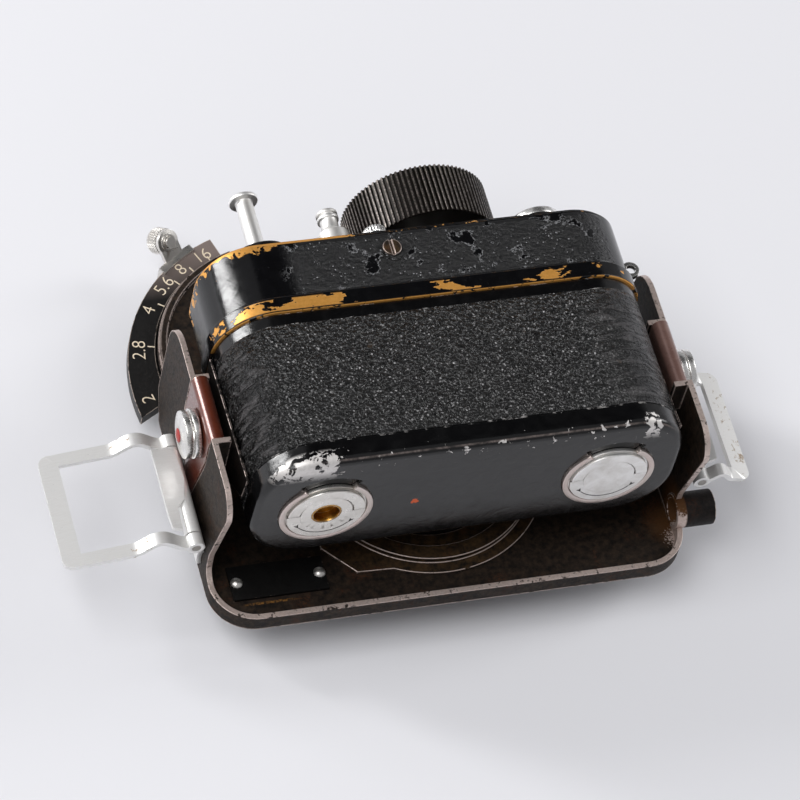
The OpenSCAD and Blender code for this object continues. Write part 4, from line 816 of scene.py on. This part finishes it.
def lock_marks_and_gap_shade(side):
    shapes = []
    for angle in (212, 328):
        a = math.radians(angle)
        turn = a + (math.pi if angle > 270 else 0)
        shapes.append(moved(prism(ARROW, 0.03), at(ARC_R * math.cos(a), ARC_R * math.sin(a)),
                            Matrix.Rotation(turn, 4, "Z")))
    # dark lines over the gaps at the two ends of the key: painted shade and grime
    for angle in (0, 180):
        a = math.radians(angle)
        shapes.append(moved(slab(2.1, 0.24, 0.06), at(SLOT_R * math.cos(a), SLOT_R * math.sin(a))))
    for angle in range(222, 320, 4):
        a = math.radians(angle)
        shapes.append(moved(slab(0.42, 0.14, 0.05), at(ARC_R * math.cos(a), ARC_R * math.sin(a)),
                            Matrix.Rotation(a + math.pi / 2, 4, "Z")))
    return moved(joined(shapes), at(side * LOCK_X, Y_BOTTOM - 0.61, LOCK_Z) @ TO_BOTTOM)


for side, body in ((-1, "left_lock"), (1, "right_lock")):
    keep(body + "_marks", lock_marks_and_gap_shade(side), MARKS_AND_SHADE, body)
lining_cup = turned_piece(((2.66, -1.9), (2.66, 0.0), (2.35, 0.05), (2.2, -0.3), (2.2, -1.7), (0.1, -1.7)))
outer_face = at(-LOCK_X, Y_BOTTOM - 0.68, LOCK_Z) @ TO_BOTTOM
keep("lock_hole_lining", moved(lining_cup, outer_face), BRASS, "left_lock")

# Screw with two spanner holes in the knob's top. The holes are black discs laid on the screw, painted shade
# standing in for the hollows
SCREW = ((2.4, -0.3), (2.4, 0.22), (2.2, 0.35), (0.1, 0.4))
HOLE_SHADE_DISC = ((0.4, 0.30), (0.4, 0.405), (0.05, 0.405))
on_knob = at(KNOB_X, KNOB_TOP, Z_MID) @ TO_TOP
keep("knob_screw", moved(turned_piece(SCREW), on_knob), WORN_NICKEL, "knob")
hole_shade_discs = [moved(turned_piece(HOLE_SHADE_DISC, 24), on_knob, at(s * 1.3, 0)) for s in (-1, 1)]
keep("knob_screw_holes", joined(hole_shade_discs), MARKS_AND_SHADE, "knob")


# Rings of equal copies: the knurl of the clamp wheel and the marks of the frame counter
def ring_tree():
    tree = bpy.data.node_groups.new("ring_of_copies", "GeometryNodeTree")
    for label, kind in (("Item", "Object"), ("Around", "Int"), ("Rows", "Int"), ("Radius", "Float"),
                        ("Pitch", "Float"), ("Material", "Material")):
        tree.interface.new_socket(label, in_out="INPUT", socket_type="NodeSocket" + kind)
    tree.interface.new_socket("Geometry", in_out="OUTPUT", socket_type="NodeSocketGeometry")
    given = node(tree, "NodeGroupInput").node.outputs
    index = node(tree, "GeometryNodeInputIndex")
    total = node(tree, MATH, {0: given["Around"], 1: given["Rows"]}, operation="MULTIPLY")
    place = node(tree, MATH, {0: index, 1: given["Around"]}, operation="DIVIDE")
    row = node(tree, MATH, {0: place}, operation="FLOOR")
    # every other row is set half a step on, so that the copies make diamonds
    half = node(tree, MATH, {0: row, 1: 0.5}, operation="MULTIPLY")
    step = node(tree, MATH, {0: math.tau, 1: given["Around"]}, operation="DIVIDE")
    count = node(tree, MATH, {0: index, 1: half}, operation="ADD")
    angle = node(tree, MATH, {0: count, 1: step}, operation="MULTIPLY")
    cosine = node(tree, MATH, {0: angle}, operation="COSINE")
    sine = node(tree, MATH, {0: angle}, operation="SINE")
    height = node(tree, MATH, {0: row, 1: given["Pitch"]}, operation="MULTIPLY")
    across = node(tree, MATH, {0: cosine, 1: given["Radius"]}, operation="MULTIPLY")
    along = node(tree, MATH, {0: sine, 1: given["Radius"]}, operation="MULTIPLY")
    spot = node(tree, "ShaderNodeCombineXYZ", {0: across, 1: along, 2: height})
    points = node(tree, "GeometryNodePoints", {"Count": total, "Position": spot})
    item = node(tree, "GeometryNodeObjectInfo", {"Object": given["Item"]}, "Geometry")
    turn = node(tree, "ShaderNodeCombineXYZ", {2: angle})
    copies = node(tree, "GeometryNodeInstanceOnPoints",
                  {"Points": points, "Instance": item, "Rotation": turn})
    solid = node(tree, "GeometryNodeRealizeInstances", {0: copies})
    dressed = node(tree, "GeometryNodeSetMaterial", {"Geometry": solid, "Material": given["Material"]})
    node(tree, "NodeGroupOutput", {0: dressed})
    return tree


RING = ring_tree()


def ring_of(item_mesh, **values):
    item = bpy.data.objects.new("ring_item", item_mesh)
    holder = bpy.data.objects.new("ring_holder", bpy.data.meshes.new("ring_holder"))
    for thing in (item, holder):
        bpy.context.collection.objects.link(thing)
    copies = holder.modifiers.new("copies", "NODES")
    copies.node_group = RING
    for socket in RING.interface.items_tree:
        if socket.in_out == "INPUT":
            copies[socket.identifier] = item if socket.name == "Item" else values[socket.name]
    mesh = bpy.data.meshes.new_from_object(holder.evaluated_get(bpy.context.evaluated_depsgraph_get()))
    for thing in (item, holder):
        bpy.data.objects.remove(thing)
    return mesh


# the knurl's diamonds are drawn about 0.5 mm across, coarser than a fine knurl is
SUNK, WIDE, TALL, PROUD = -0.1 * MM, 0.24 * MM, 0.3 * MM, 0.12 * MM
diamond = bpy.data.meshes.new("diamond")
diamond.from_pydata([(SUNK, 0, -TALL), (SUNK, WIDE, 0), (SUNK, 0, TALL), (SUNK, -WIDE, 0), (PROUD, 0, 0)], [],
                    [(0, 1, 4), (1, 2, 4), (2, 3, 4), (3, 0, 4), (3, 2, 1, 0)])
wheel = next(j for j in frame["record"]["behaviour"]["joints"] if j["name"] == "clamp_turn")
wheel_turn = Vector((0, 0, 1)).rotation_difference(Vector(wheel["axis"])).to_matrix().to_4x4()
on_wheel = Matrix.Translation(wheel["pos_m"]) @ wheel_turn
knurl = ring_of(diamond, Around=30, Rows=7, Radius=2.38 * MM, Pitch=0.3 * MM, Material=WORN_NICKEL)
keep("wheel_knurl", moved(knurl, on_wheel, at(0, 0, -2.6)), WORN_NICKEL, "clamp")
on_counter = at(*COUNTER) @ TO_TOP
ticks = ring_of(slab(0.7, 0.16, 0.04), Around=30, Rows=1, Radius=3.95 * MM, Pitch=0.0, Material=MARKS_AND_SHADE)
keep("counter_marks", moved(ticks, on_counter), MARKS_AND_SHADE, "counter")


# Studio: a pale floor, three soft panels, and a black card for the camera's back to mirror
def panel(name, at, size, power):
    light = bpy.data.lights.new(name, "AREA")
    light.shape = "RECTANGLE"
    light.size, light.size_y = size
    light.energy = power
    lamp = bpy.data.objects.new(name, light)
    lamp.location = at
    lamp.rotation_euler = (Vector((0, 0, 0.03)) - Vector(at)).to_track_quat("-Z", "Y").to_euler()
    bpy.context.collection.objects.link(lamp)


panel("key_softbox", (-0.6, -0.15, 1.15), (0.9, 0.6), 8.6)
panel("corner_strip", (-0.71, 0.49, 0.39), (0.10, 0.55), 4.5)
panel("right_panel", (0.85, 0.15, 0.5), (0.3, 0.6), 3.0)

world = bpy.data.worlds.new("studio_air")
bpy.context.scene.world = world
world.use_nodes = True
world.node_tree.nodes["Background"].inputs["Color"].default_value = linear("#eeeef1")
world.node_tree.nodes["Background"].inputs["Strength"].default_value = 0.38


def stage_plane(name, size, matrix, colour, rough):
    material = bpy.data.materials.new(name)
    material.use_nodes = True
    shader = material.node_tree.nodes["Principled BSDF"]
    shader.inputs["Base Color"].default_value = linear(colour)
    shader.inputs["Roughness"].default_value = rough
    work = bmesh.new()
    bmesh.ops.create_grid(work, x_segments=1, y_segments=1, size=size)
    mesh = bpy.data.meshes.new(name)
    work.to_mesh(mesh)
    work.free()
    mesh.materials.append(material)
    plane = bpy.data.objects.new(name, mesh)
    plane.matrix_world = matrix
    bpy.context.collection.objects.link(plane)


stage_plane("paper_floor", 3.0, Matrix.Translation((0, 0, -0.0002)), "#e8e8ec", 0.9)
card_way = Vector((0.27, 0.52, 0.81)).normalized()
card = Matrix.Translation(card_way * 1.7) @ card_way.to_track_quat("-Z", "Y").to_matrix().to_4x4()
stage_plane("black_card", 0.62, card, "#050505", 0.9)
